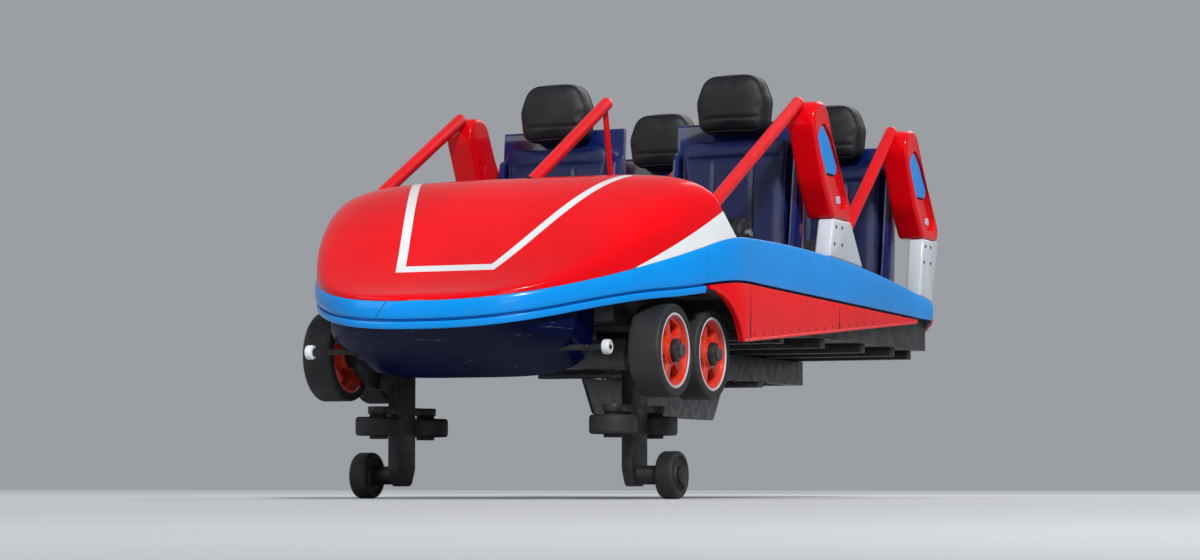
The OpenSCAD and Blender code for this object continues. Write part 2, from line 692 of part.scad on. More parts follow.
// Grab rails: a pair from inside the coaming to the front wings, and a pair from the
// light panels of the front seats to the rear wings
rail_end = [wing_front_y + 41, wing_top_z - 12];
rear_rail_foot = [wing_front_y + 449, side_panel_z - 78, 0];
module side_rails() {
    color(red) both_sides() difference() {
        translate([side_rail_x, 0, 0]) {
            tube_path([[88, 470, 0], [88, 611, 60], [rail_end[0], rail_end[1], 0]], rail_d);
            tube_path([rear_rail_foot, [rows[1] + rail_end[0], rail_end[1], 0]], rail_d);
        }
        for (r = rows) translate([0, r, 0]) plate_x(wing_x - 5, wing_t) offset(delta = seam) wing_outline();
        plate_x(side_x - 40, side_t + 40) offset(delta = seam) seat_side_outline(rows[0]);
    }
}

// Rails in the middle, each with a thin strut down to the console
module centre_rails() {
    start = [hood_end(1) + seam, hood_crown_z - 23];
    top = [seat_front_y + 109, wing_top_z - 2];
    foot = [seat_front_y + 225, floor_z + console_h + strut_d / 4];
    color(red) for (r = rows) translate([0, r, 0]) difference() {
        union() {
            rod([0, start[0] - 30, start[1] - 16], [0, top[0], top[1]], rail_d);
            rod([0, top[0] - 16, top[1] - 9], [0, foot[0], foot[1]], strut_d);
        }
        translate([-50, start[0] - 150, start[1] - 100]) cube([100, 150, 200]);
    }
}

// Hinge brackets of the four lap bars, bolted to the floor
bar_places = [for (r = rows, s = [1, -1]) [s * seat_x, r]];
lug_gap = barrel_w / 2 + 1;
module lap_bar_brackets() {
    base_t = 10;
    lug_r = hinge_d / 2 + 16;
    color(dark) for (p = bar_places) translate([p[0], p[1], 0]) difference() {
        union() {
            translate([-lug_gap - lug_t, hinge_y - 56, floor_z + seam])
                cube([2 * (lug_gap + lug_t), 112, base_t]);
            for (x = [-lug_gap - lug_t, lug_gap])
                plate_x(x, lug_t) {
                    polygon([[hinge_y - 48, floor_z + 6], [hinge_y + 48, floor_z + 6],
                        [hinge_y + lug_r * 0.85, hinge_z + lug_r * 0.4],
                        [hinge_y - lug_r * 0.85, hinge_z + lug_r * 0.4]]);
                    translate([hinge_y, hinge_z]) circle(r = lug_r);
                }
        }
        bar_x(-lug_gap - lug_t - 5, hinge_y, hinge_z, hinge_d + 2 * fit, 2 * (lug_gap + lug_t) + 10);
    }
}

// Lap bar: hinge barrel with its shaft, a bent stem and a crossbar
bar_path = [[hinge_y + 6, hinge_z + 12, 0], [512, 470, 90], [620, pad_z, 70], [pad_y, pad_z, 0]];
module lap_bar(p) {
    shaft = 2 * (lug_gap + lug_t + 6);
    cross = bar_pad_w + 36;
    color(steel) translate([p[0], p[1], 0]) union() {
        bar_x(-barrel_w / 2, hinge_y, hinge_z, barrel_d, barrel_w);
        bar_x(-shaft / 2, hinge_y, hinge_z, hinge_d, shaft);
        tube_path(bar_path, bar_d);
        bar_x(-cross / 2, pad_y, pad_z, bar_d - 8, cross);
    }
}
module bar_pad(p) {
    slot = bar_d + 4;
    color(dark) translate([p[0], p[1], 0]) difference() {
        bar_x(-bar_pad_w / 2, pad_y, pad_z, bar_pad_d, bar_pad_w);
        bar_x(-bar_pad_w, pad_y, pad_z, bar_d - 8 + 2 * seam, 2 * bar_pad_w);
        translate([-slot / 2, pad_y - bar_pad_d, pad_z - slot / 2 - 4])
            cube([slot, bar_pad_d + 24, slot + 4]);
    }
}

// Axle beam on its kingpin, with a stub at each end for a wheel carrier
module axle_beam() {
    end = carrier_x - run_gap - 2;
    disc_z = deck_z - saddle_t - 0.5;
    color(steel) union() {
        translate([-end, -axle_depth / 2, wheel_z - axle_h / 2]) cube([2 * end, axle_depth, axle_h]);
        translate([0, 0, wheel_z + axle_h / 2 - 5]) cylinder(d = 230, h = disc_z - wheel_z - axle_h / 2 + 5);
        translate([0, 0, wheel_z]) cylinder(d = kingpin_d, h = deck_z - 3 - wheel_z);
        both_sides() {
            bar_x(end - 5, 0, wheel_z, stub_d, carrier_x + carrier_t + 1 - end + 5);
            bar_x(carrier_x + carrier_t + 1, 0, wheel_z, stub_d + 30, 8);
        }
    }
}

// Wheel carrier: a side plate with two running axles, and a leg that reaches round the
// rail with two upright guide axles and one upstop axle
boss_w = run_w - 14;
module carrier() {
    plate_out = carrier_x + carrier_t;
    arm_z = guide_z + guide_w / 2 + 10;
    arm_t = 24;
    color(dark) difference() {
        union() {
            plate_x(carrier_x, carrier_t) polygon(rounded([[-run_pitch / 2 - 46, 98, 40],
                [-run_pitch / 2 - 46, 192, 40], [run_pitch / 2 + 46, 192, 40],
                [run_pitch / 2 + 46, 98, 40], [92, 40, 30], [-92, 40, 30]]));
            for (y = [-run_pitch / 2, run_pitch / 2]) {
                bar_x(plate_out - 5, y, wheel_z, run_axle_d, rail_x + boss_w / 2 + 3 - plate_out + 5);
                bar_x(plate_out - 5, y, wheel_z, run_axle_d + 18, rail_x - boss_w / 2 - 0.5 - plate_out + 5);
                bar_x(rail_x + boss_w / 2 + 0.5, y, wheel_z, run_axle_d + 24, 12);
            }
            translate([leg_x, -leg_hw, 42]) cube([carrier_x + 5 - leg_x, 2 * leg_hw, leg_top_z - 42]);
            plate_x(leg_x, leg_t) polygon(rounded([[-leg_hw, leg_top_z, 0], [leg_hw, leg_top_z, 0],
                [leg_hw, upstop_z + 20, 30], [36, upstop_z - 36, 30], [-36, upstop_z - 36, 30],
                [-leg_hw, upstop_z + 20, 30]]));
            for (s = [-1, 1]) translate([guide_x, s * guide_pitch / 2, 0]) {
                translate([0, 0, arm_z]) {
                    cylinder(d = guide_axle_d + 30, h = arm_t);
                    translate([leg_x - guide_x, s > 0 ? leg_hw - guide_pitch / 2 - 5 : 0, 0])
                        cube([leg_t, guide_pitch / 2 - leg_hw + 5, arm_t]);
                }
                translate([0, 0, guide_z - guide_w / 2 - 3]) cylinder(d = guide_axle_d, h = guide_w + 20);
                translate([0, 0, guide_z + guide_w / 2 + 0.5]) cylinder(d = guide_axle_d + 20, h = 12);
                translate([0, 0, guide_z - guide_w / 2 - 10.5]) cylinder(d = guide_axle_d + 20, h = 10);
            }
            bar_x(leg_x + leg_t - 5, 0, upstop_z, guide_axle_d,
                upstop_x + guide_w / 2 + 3 - leg_x - leg_t + 5);
            bar_x(leg_x + leg_t - 5, 0, upstop_z, guide_axle_d + 20,
                upstop_x - guide_w / 2 - 0.5 - leg_x - leg_t + 5);
            bar_x(upstop_x + guide_w / 2 + 0.5, 0, upstop_z, guide_axle_d + 20, 10);
        }
        bar_x(carrier_x - 5, 0, wheel_z, stub_d + 2 * fit, carrier_t + 10);
    }
}

// Running wheel about X with its outer face toward +X: tyre and five-spoke hub
run_rim_r = run_d / 2 - run_tyre_t;
module running_tyre() {
    r = run_d / 2;
    w = run_w / 2;
    color(dark) rotate([0, 90, 0]) rotate_extrude($fn = 96) polygon([[run_rim_r + fit, -w], [r - 7, -w],
        [r, -w + 14], [r, w - 14], [r - 7, w], [run_rim_r + fit, w]]);
}
module running_hub() {
    w = run_w / 2 - 3;
    web_x = w - 36;
    web_t = 22;
    rim_in = run_rim_r - 14;
    boss_r = run_axle_d / 2 + 17;
    color(orange) difference() {
        union() {
            rotate([0, 90, 0]) rotate_extrude($fn = 96) polygon([[rim_in, -w], [run_rim_r, -w],
                [run_rim_r, w], [run_rim_r - 4, w], [rim_in, w - 8]]);
            bar_x(web_x, 0, 0, 2 * rim_in + 2, web_t);
            bar_x(-boss_w / 2, 0, 0, 2 * boss_r, boss_w);
        }
        bar_x(-run_w, 0, 0, run_axle_d + 2 * fit, 2 * run_w);
        plate_x(web_x - 2, web_t + 4) for (i = [0:4]) rotate(i * 72) polygon(rounded([
            for (c = [[boss_r + 9, -20, 7], [rim_in - 3, -25, 10], [rim_in - 3, 25, 10], [boss_r + 9, 20, 7]])
                [c[0] * cos(c[1]), c[0] * sin(c[1]), c[2]]]));
    }
}

// Guide and upstop wheel about Z: a treaded disc with dished faces
module small_wheel() {
    r = guide_d / 2;
    w = guide_w / 2;
    b = guide_axle_d / 2 + fit;
    color(dark) rotate_extrude($fn = 96) polygon([[b, -w], [b + 14, -w], [b + 18, -w + 8],
        [r - 20, -w + 8], [r - 16, -w], [r - 5, -w], [r, -w + 8], [r, w - 8], [r - 5, w],
        [r - 16, w], [r - 20, w - 8], [b + 18, w - 8], [b + 14, w], [b, w]]);
}

module place_run(end, side) {
    translate([side * rail_x, end * run_pitch / 2, wheel_z])
        mirror([side < 0 ? 1 : 0, 0, 0]) children();
}
module place_guide(end, side) {
    translate([side * guide_x, end * guide_pitch / 2, guide_z]) children();
}
module place_upstop(side) {
    translate([side * upstop_x, 0, upstop_z]) rotate([0, 90, 0]) children();
}

nose_hood();
nose_band();
nose_belly();
side_bands();
side_wedges();
lower_panels();
side_liners();
tail_panel();
floor_pan();
side_fittings();
chassis_beams();
cross_members();
rear_coupling();
brake_fin();
seat_frames();
seat_shells();
seat_cushions();
back_pads();
headrests();
seat_sides();
side_wings();
wing_insets();
side_rails();
centre_rails();
lap_bar_brackets();
axle_beam();
carrier();  // carrier_left
mirror([1, 0, 0]) carrier();  // carrier_right
place_run(-1, 1) running_tyre();  // tyre_front_left
place_run(-1, 1) running_hub();  // hub_front_left
place_run(1, 1) running_tyre();  // tyre_rear_left
place_run(1, 1) running_hub();  // hub_rear_left
place_run(-1, -1) running_tyre();  // tyre_front_right
place_run(-1, -1) running_hub();  // hub_front_right
place_run(1, -1) running_tyre();  // tyre_rear_right
place_run(1, -1) running_hub();  // hub_rear_right
place_guide(-1, 1) small_wheel();  // guide_front_left
place_guide(1, 1) small_wheel();  // guide_rear_left
place_guide(-1, -1) small_wheel();  // guide_front_right
place_guide(1, -1) small_wheel();  // guide_rear_right
place_upstop(1) small_wheel();  // upstop_left
place_upstop(-1) small_wheel();  // upstop_right
lap_bar(bar_places[0]);  // lap_bar_front_left
bar_pad(bar_places[0]);  // bar_pad_front_left
lap_bar(bar_places[1]);  // lap_bar_front_right
bar_pad(bar_places[1]);  // bar_pad_front_right
lap_bar(bar_places[2]);  // lap_bar_rear_left
bar_pad(bar_places[2]);  // bar_pad_rear_left
lap_bar(bar_places[3]);  // lap_bar_rear_right
bar_pad(bar_places[3]);  // bar_pad_rear_right
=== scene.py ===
"""Looks of the roller coaster car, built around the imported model.

Shapes are (points, faces) in millimetres in the frame's own axes, and add() turns them into pieces in metres.
The camera, the floor, the lamps and the sizes in the materials are in metres.
"""
import json
import math
from itertools import product

import bmesh
import bpy
import numpy as np
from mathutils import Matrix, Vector
from mathutils.bvhtree import BVHTree

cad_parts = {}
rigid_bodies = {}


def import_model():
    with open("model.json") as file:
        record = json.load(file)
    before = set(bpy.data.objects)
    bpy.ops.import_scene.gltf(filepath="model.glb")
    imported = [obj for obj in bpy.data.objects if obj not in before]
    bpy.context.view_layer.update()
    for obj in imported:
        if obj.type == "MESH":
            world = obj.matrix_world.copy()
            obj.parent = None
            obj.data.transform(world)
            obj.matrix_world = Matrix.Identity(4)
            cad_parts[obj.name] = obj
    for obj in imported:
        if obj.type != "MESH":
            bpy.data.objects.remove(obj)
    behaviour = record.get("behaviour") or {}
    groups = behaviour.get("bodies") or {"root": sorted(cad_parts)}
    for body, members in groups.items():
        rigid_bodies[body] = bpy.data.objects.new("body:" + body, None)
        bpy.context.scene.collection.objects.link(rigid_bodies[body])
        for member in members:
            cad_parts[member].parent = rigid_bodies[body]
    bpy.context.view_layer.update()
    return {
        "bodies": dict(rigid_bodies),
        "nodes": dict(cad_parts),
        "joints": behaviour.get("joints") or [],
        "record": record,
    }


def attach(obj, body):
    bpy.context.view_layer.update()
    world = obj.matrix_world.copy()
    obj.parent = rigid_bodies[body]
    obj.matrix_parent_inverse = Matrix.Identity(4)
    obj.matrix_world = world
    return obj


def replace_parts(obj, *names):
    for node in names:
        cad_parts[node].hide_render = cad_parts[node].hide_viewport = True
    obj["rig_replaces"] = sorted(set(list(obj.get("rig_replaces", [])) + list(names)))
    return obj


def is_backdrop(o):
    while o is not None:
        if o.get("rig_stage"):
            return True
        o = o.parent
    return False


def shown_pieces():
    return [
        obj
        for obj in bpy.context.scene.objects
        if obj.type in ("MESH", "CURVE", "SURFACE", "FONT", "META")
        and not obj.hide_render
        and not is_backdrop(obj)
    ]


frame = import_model()
nodes = frame["nodes"]

BODY_OF = {node: body for body, members in frame["record"]["behaviour"]["bodies"].items() for node in members}
SLOT_OF = {row["node"]: row["material_slot"] for row in frame["record"]["subparts"]}
MM = 0.001
ACROSS, ALONG, UP = (1, 0, 0), (0, 1, 0), (0, 0, 1)
MIRROR = np.array((-1.0, 1.0, 1.0))

# Camera: the photograph's viewing angle, at floor level because the photograph looks up
FLOOR_Z = -0.3145
CAMERA_AT, CAMERA_AIM, CAMERA_LENS = (4.40, -9.30, FLOOR_Z + 0.035), (0.02, 0.62, 0.425), 96.0


def assign(target, **settings):
    for key, value in settings.items():
        setattr(target, key, value)
    return target


def stand(name, data, place, aim):
    """A camera or a lamp at a place, turned towards its aim."""
    made = bpy.data.objects.new(name, data)
    made.location = place
    made.rotation_euler = (Vector(aim) - Vector(place)).to_track_quat("-Z", "Y").to_euler()
    bpy.context.scene.collection.objects.link(made)
    return made


lens = assign(bpy.data.cameras.new("camera"), lens=CAMERA_LENS, sensor_width=36.0, clip_end=100.0)
bpy.context.scene.camera = stand("camera", lens, CAMERA_AT, CAMERA_AIM)

MATERIALS = {}
MIX_FACTOR, MIX_A, MIX_B, MIX_RESULT = 0, 6, 7, 2


def shade(colour, factor, lift=0.0):
    return tuple(min(1.0, c * factor + lift) for c in colour)


class Look:
    """A procedural material in the car's own space, with a method for each kind of node in it."""

    def __init__(self, name, **sockets):
        made = MATERIALS[name] = bpy.data.materials.new(name)
        made.use_nodes = True
        self.tree = made.node_tree
        for key, value in sockets.items():
            self.set(key.replace("_", " "), value)

    def plug(self, socket, value):
        if isinstance(value, bpy.types.NodeSocket):
            self.tree.links.new(value, socket)
        else:
            socket.default_value = (*value, 1.0) if socket.type == "RGBA" else value

    def set(self, key, value):
        self.plug(self.tree.nodes["Principled BSDF"].inputs[key], value)

    def node(self, kind, output, inputs=None, **settings):
        """One output of a new node."""
        made = assign(self.tree.nodes.new(kind), **settings)
        for key, value in (inputs or {}).items():
            self.plug(made.inputs[key], value)
        return made.outputs[output]

    def place(self):
        return self.node("ShaderNodeTexCoord", "Object")

    def normal(self):
        return self.node("ShaderNodeNewGeometry", "Normal")

    def part(self, vector, axis):
        return self.node("ShaderNodeSeparateXYZ", axis, {"Vector": vector})

    def noise(self, scale, detail=4.0, rough=0.55, stretch=(1, 1, 1)):
        """Noise whose scale is in features per metre."""
        mapped = self.node("ShaderNodeMapping", "Vector", {"Vector": self.place(), "Scale": stretch})
        return self.node("ShaderNodeTexNoise", "Fac",
                         {"Vector": mapped, "Scale": scale, "Detail": detail, "Roughness": rough})

    def remap(self, value, low, high, to_low=0.0, to_high=1.0):
        return self.node("ShaderNodeMapRange", "Result", {"Value": value, "From Min": low, "From Max": high,
                                                          "To Min": to_low, "To Max": to_high})

    def maths(self, kind, first, second):
        return self.node("ShaderNodeMath", 0, {0: first, 1: second}, operation=kind)

    def mix(self, factor, first, second):
        inputs = {MIX_FACTOR: factor, MIX_A: first, MIX_B: second}
        return self.node("ShaderNodeMix", MIX_RESULT, inputs, data_type="RGBA")

    def patches(self, colour, other, scale, detail, low, high, amount=1.0, rough=0.55, stretch=(1, 1, 1)):
        """A colour that gives way to another where the noise rises from low to high."""
        spread = self.remap(self.noise(scale, detail, rough, stretch), low, high, 0.0, amount)
        return self.mix(spread, colour, other)

    def bump(self, height, strength, depth, normal=None):
        inputs = {"Height": height, "Strength": strength, "Distance": depth}
        if normal is not None:
            inputs["Normal"] = normal
        return self.node("ShaderNodeBump", "Normal", inputs)

    def grain(self, scale, depth=0.0006):
        return self.bump(self.noise(scale, 4.0), 0.3, depth)

    def low_grime(self, top, bottom, amount):
        """The amount near the bottom height and 0 above the top height, broken up by noise."""
        level = self.remap(self.part(self.place(), "Z"), bottom, top, 1.0, 0.0)
        patch = self.remap(self.noise(9.0, 6.0, 0.65), 0.42, 0.62)
        return self.maths("MULTIPLY", self.maths("MULTIPLY", level, patch), amount)

    def edge_wear(self, strength):
        """The strength on convex edges, broken up by noise."""
        edge = self.remap(self.node("ShaderNodeNewGeometry", "Pointiness"), 0.515, 0.56, 0.0, strength)
        return self.maths("MULTIPLY", edge, self.remap(self.noise(30.0, 5.0, 0.7), 0.45, 0.6))

    def inner_side(self, middle=(0.0, 0.2, 0.35)):
        """1 where a face looks towards the body's middle, and 0 where it looks out."""
        away = self.node("ShaderNodeVectorMath", "Vector", {0: self.place(), 1: middle}, operation="SUBTRACT")
        facing = self.node("ShaderNodeVectorMath", "Value", {0: away, 1: self.normal()}, operation="DOT_PRODUCT")
        return self.remap(facing, -0.14, -0.08, 1.0, 0.0)

    def finish(self, colour, scale, detail, smoothest, roughest, normal):
        """Plugs in the colour, a roughness that changes with noise, and the normal."""
        self.set("Base Color", colour)
        self.set("Roughness", self.remap(self.noise(scale, detail), 0.3, 0.7, smoothest, roughest))
        self.set("Normal", normal)


RED = (0.64, 0.0010, 0.005)
GELCOAT = (0.060, 0.062, 0.068)
# Dust, and the pale colour of the streaks, which is partly scratches and partly painted reflection
DUST, SCRATCH_AND_REFLECTION = (0.16, 0.13, 0.11), (0.55, 0.57, 0.6)
# Near-black for faces that look down, or away from the car's middle: painted shade
BACK_SHADE = (0.008, 0.008, 0.009)


def paint(name, colour, rough=0.2, coat=0.3, shine=0.28, grime=0.35, top=0.5, bottom=-0.1, streaks=0.0, wear=0.0,
          scratches=0.08, inside=None):
    """Glossy lacquer with slight tone changes, fine scratches, worn edges, grime low down and pale streaks that
    are partly scratches and partly painted reflection.
    """
    look = Look(name, Coat_Weight=coat, Coat_Roughness=0.04, Specular_IOR_Level=shine)
    finish = look.patches(colour, shade(colour, 0.82), 2.2, 3.0, 0.35, 0.65)
    finish = look.mix(look.low_grime(top, bottom, grime), finish, DUST)
    if wear:
        finish = look.mix(look.edge_wear(wear), finish, shade(colour, 0.55, 0.12))
    # Pale streaks where wanted: partly scratches and partly a painted reflection
    if streaks:
        finish = look.patches(finish, SCRATCH_AND_REFLECTION, 36.0, 5.0, 0.64, 0.70, streaks, 0.75, (0.3, 0.12, 2.5))
    if inside:
        finish = look.mix(look.inner_side(), finish, inside)
    look.set("Base Color", finish)
    spots = look.remap(look.noise(14.0, 5.0), 0.4, 0.7, rough, rough + 0.07)
    scratch = look.remap(look.noise(60.0, 3.0, 0.7, (0.25, 3.0, 1.0)), 0.62, 0.72, 0.0, scratches)
    look.set("Roughness", look.maths("ADD", spots, scratch))
    peel = look.bump(look.noise(380.0, 2.0), 0.02, 0.0006)
    look.set("Normal", look.bump(look.noise(4.0, 1.0), 0.04, 0.003, peel))


def satin(name, colour, rough, metallic=0.0, worn=(0.030, 0.026, 0.023), amount=0.4):
    """Satin paint, cast or bare metal with dust, chips, worn edges and a fine texture."""
    look = Look(name, Metallic=metallic, Specular_IOR_Level=0.3)
    stained = look.patches(colour, worn, 18.0, 8.0, 0.54, 0.72, amount, 0.7)
    edged = look.mix(look.edge_wear(0.25), stained, shade(colour, 1.5, 0.05))
    look.finish(edged, 30.6, 6.0, rough - 0.12, rough + 0.16, look.grain(260.0))


def rubber(name, colour, dust):
    """Moulded tread rubber, slightly dusty, with a fine matt grain."""
    look = Look(name, Specular_IOR_Level=0.3)
    soiled = look.patches(colour, dust, 5.0, 5.0, 0.38, 0.68, 0.55, 0.6)
    scuffed = look.patches(soiled, shade(colour, 0.5), 40.0, 5.0, 0.58, 0.72, 0.4, 0.7)
    look.finish(scuffed, 16.0, 5.0, 0.5, 0.72, look.grain(420.0, 0.0005))


def shaded_back_sheet(name, colour, inward=False):
    """Sheet metal with a worn face, upward or towards the car's middle, and a near-black back that is painted
    shade.
    """
    look = Look(name, Metallic=0.3)
    face = look.part(look.normal(), "Z")
    if inward:
        outward = look.maths("MULTIPLY", look.part(look.normal(), "X"), look.part(look.place(), "X"))
        face = look.maths("MULTIPLY", outward, -2.0)
    scuffed = look.patches(colour, shade(colour, 0.45), 12.0, 8.0, 0.5, 0.7, 0.6, 0.7)
    # The back: painted shade, near-black with slightly lighter dust patches
    dusty = look.patches(BACK_SHADE, shade(BACK_SHADE, 1.8, 0.006), 6.0, 6.0, 0.4, 0.7, 0.5)
    look.finish(look.mix(look.remap(face, 0.4, 0.6), dusty, scuffed), 20.0, 6.0, 0.42, 0.66, look.grain(240.0))


def vinyl(name, colour, rough, pores=520.0):
    """Stitched vinyl or moulded foam skin: leather grain with slight wear."""
    look = Look(name, Specular_IOR_Level=0.3)
    rubbed = look.patches(colour, shade(colour, 1.6, 0.006), 7.0, 5.0, 0.45, 0.72, 0.7)
    cells = look.node("ShaderNodeTexVoronoi", "Distance", {"Vector": look.place(), "Scale": pores},
                      feature="DISTANCE_TO_EDGE")
    folds = look.bump(look.noise(26.0, 4.0), 0.22, 0.002)
    leather = look.bump(look.remap(cells, 0.0, 0.12), 0.3, 0.0005, folds)
    look.finish(rubbed, 11.0, 4.0, rough - 0.08, rough + 0.14, leather)


paint("hood_red", RED, rough=0.16, coat=0.15, shine=0.08, grime=0.02, top=0.42, bottom=0.2, inside=GELCOAT)
paint("band_blue", (0.0008, 0.235, 0.68), coat=0.12, shine=0.1, grime=0.05, top=0.40, bottom=0.15, inside=GELCOAT)
paint("belly_navy", (0.0006, 0.003, 0.032), coat=0.04, shine=0.04, grime=0.01, top=0.3, bottom=0.0, streaks=0.2)
paint("trim_white", (0.66, 0.68, 0.70), grime=0.12, top=0.5, bottom=0.3)
paint("panel_red", (0.72, 0.0006, 0.004), rough=0.24, coat=0.08, shine=0.1, grime=0.04, top=0.4, bottom=0.1,
      streaks=0.05, inside=GELCOAT)
paint("wing_red", RED, rough=0.18, coat=0.15, shine=0.12, grime=0.04, top=0.7, bottom=0.5)
paint("rail_red", (0.60, 0.0010, 0.005), rough=0.26, coat=0.15, shine=0.12, grime=0.06, top=0.6, bottom=0.4,
      scratches=0.0)
paint("liner_grey", (0.46, 0.49, 0.54), rough=0.36, coat=0.2, grime=0.2)
paint("shell_navy", (0.003, 0.010, 0.085), coat=0.5, grime=0.05)
paint("hub_orange", (0.62, 0.022, 0.004), rough=0.34, grime=0.35, top=0.3, bottom=0.0, wear=0.3)
shaded_back_sheet("floor_grey", (0.19, 0.195, 0.205))
shaded_back_sheet("liner_sheet", (0.40, 0.42, 0.46), inward=True)
satin("chassis_dark", (0.009, 0.009, 0.011), 0.46, amount=0.35)
satin("bare_steel", (0.075, 0.075, 0.080), 0.42, 0.7, worn=(0.040, 0.028, 0.020))
satin("bar_steel", (0.36, 0.36, 0.38), 0.3, 1.0, worn=(0.12, 0.10, 0.09), amount=0.15)
satin("seam_dark", (0.005, 0.005, 0.007), 0.7, amount=0.2)
rubber("tyre_dark", (0.011, 0.012, 0.014), (0.036, 0.034, 0.032))
rubber("guide_tread", (0.010, 0.010, 0.012), (0.032, 0.031, 0.030))
vinyl("pad_navy", (0.003, 0.007, 0.042), 0.34)
vinyl("pad_black", (0.006, 0.006, 0.008), 0.46, 700.0)
vinyl("bar_foam", (0.007, 0.007, 0.009), 0.52, 900.0)


def finish_piece(piece, body, slot, *replaced, look=None):
    """Gives a new piece its material and body, and hides the nodes that it stands for."""
    piece.data.materials.clear()
    piece.data.materials.append(MATERIALS[look or slot])
    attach(piece, body)
    if replaced:
        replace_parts(piece, *replaced)
    return piece


def smooth_by_angle(data, degrees=35.0):
    data.shade_smooth()
    data.set_sharp_from_angle(angle=math.radians(degrees))


def joined(name, shapes, angle=35.0):
    """One piece from several shapes."""
    verts, faces, start = [], [], 0
    for points, sides in shapes:
        verts.append(points)
        faces += [[start + i for i in face] for face in sides]
        start += len(points)
    data = bpy.data.meshes.new(name)
    data.from_pydata((np.concatenate(verts) * MM).tolist(), [], faces)
    data.validate()
    work = bmesh.new()
    work.from_mesh(data)
    bmesh.ops.recalc_face_normals(work, faces=work.faces)
    work.to_mesh(data)
    work.free()
    smooth_by_angle(data, angle)
    piece = bpy.data.objects.new(name, data)
    bpy.context.scene.collection.objects.link(piece)
    return piece


def add(name, shapes, slot, *replaced, body="car", angle=35.0, look=None):
    """A finished piece from shapes; edges sharper than the angle stay sharp."""
    return finish_piece(joined(name, shapes, angle), body, slot, *replaced, look=look)


def both_sides(*shapes):
    """Shapes and their mirror images in the car's centre plane."""
    out = []
    for points, faces in shapes:
        out += [(points, faces), (points * MIRROR, [face[::-1] for face in faces])]
    return out


def move(shape, x=0.0, y=0.0, z=0.0):
    points, faces = shape
    return points + (x, y, z), faces


def unit(vectors):
    return vectors / np.linalg.norm(vectors, axis=-1, keepdims=True)


def turned(direction):
    """A 2-D direction turned a quarter to the left."""
    return np.array((-direction[1], direction[0]))


def axes_of(axis):
    """A unit axis and two directions square to it."""
    axis = Vector(axis).normalized()
    side = axis.orthogonal().normalized()
    return np.array(axis), np.array(side), np.array(axis.cross(side))


def circle(side, other, sides):
    """Points round a unit circle in the plane of two directions."""
    turn = np.linspace(0, 2 * math.pi, sides, endpoint=False)[:, None]
    return np.cos(turn) * side + np.sin(turn) * other


def grid_faces(rows, cols, wrap_rows=False, wrap_cols=False):
    faces = []
    for j, k in product(range(rows - (not wrap_rows)), range(cols - (not wrap_cols))):
        low, high, ahead = j * cols, (j + 1) % rows * cols, (k + 1) % cols
        faces.append([low + k, low + ahead, high + ahead, high + k])
    return faces


def shell(outer, inner, arc=0):
    """A closed sheet between two point grids of shape (rows, cols, 3); arc rounds the last row's edge."""
    loops = [*outer]
    if arc:
        centre, half = (outer[-1] + inner[-1]) / 2, (outer[-1] - inner[-1]) / 2
        along = unit(outer[-1] - outer[-2]) * np.linalg.norm(half, axis=1, keepdims=True)
        turn = np.linspace(0, math.pi, arc + 2)[1:-1]
        loops += [centre + half * math.cos(t) + along * math.sin(t) for t in turn]
    loops += [*inner[::-1]]
    rows, cols = len(loops), outer.shape[1]
    faces = grid_faces(rows, cols, wrap_rows=True)
    last = len(outer) - 1
    for k in (0, cols - 1):
        for j in range(last):
            faces.append([j * cols + k, (j + 1) * cols + k, (rows - 2 - j) * cols + k, (rows - 1 - j) * cols + k])
        if arc:
            faces.append([j * cols + k for j in range(last, last + arc + 2)])
    return np.concatenate(loops), faces


def loft(rings):
    """A solid through rings of points, closed at both ends."""
    rings = np.asarray(rings, float)
    rows, cols = rings.shape[:2]
    ends = [list(range(cols)), list(range((rows - 1) * cols, rows * cols))]
    return rings.reshape(-1, 3), grid_faces(rows, cols, wrap_cols=True) + ends


def sweep(path, radius, sides):
    """A round tube along a list of points."""
    path = np.asarray(path, float)
    along = unit(np.gradient(path, axis=0))
    side = np.cross(along[0], ACROSS if abs(along[0][0]) < 0.9 else ALONG)
    rings = []
    for point, direction in zip(path, along):
        side = unit(side - direction * side.dot(direction))
        rings.append(point + radius * circle(side, np.cross(direction, side), sides))
    return loft(rings)


def revolve(profile, at, axis, sides):
    """A solid from (radius, height) points turned about an axis through the point at."""
    axis, side, other = axes_of(axis)
    ring = circle(side, other, sides)
    return loft([np.asarray(at) + h * axis + r * ring for r, h in profile])


def ring_solid(profile, at, axis, sides):
    """A solid of revolution with a bore, from a closed (radius, height) profile."""
    return revolve(profile, at, axis, sides)[0], grid_faces(len(profile), sides, wrap_rows=True, wrap_cols=True)


def mirrored(half):
    """A (radius, height) profile that is the same on both sides of height 0, from its lower half."""
    return half + [(r, -h) for r, h in half[::-1] if h]


def hex_bolt(at, axis, size):
    """A washer and a hexagon head on the point at."""
    r, h = size / 2, size * 0.42
    washer = [(r * 1.5, 0.0), (r * 1.5, h * 0.22), (r * 1.3, h * 0.28)]
    head = [(r * 1.12, h * 0.28), (r * 1.15, h * 0.9), (r * 0.98, h * 1.15), (r * 0.6, h * 1.15)]
    return [revolve(washer, at, axis, 16), revolve(head, at, axis, 6)]


def hex_bolts(xs, ys, zs, axis, size):
    """Bolts at every combination of the given coordinates."""
    return [shape for at in product(xs, ys, zs) for shape in hex_bolt(at, axis, size)]


def rivet(at, axis, r):
    """A domed rivet head on the point at."""
    return revolve([(r, 0), (r * 0.95, r * 0.25), (r * 0.6, r * 0.5), (r * 0.15, r * 0.58)], at, axis, 16)


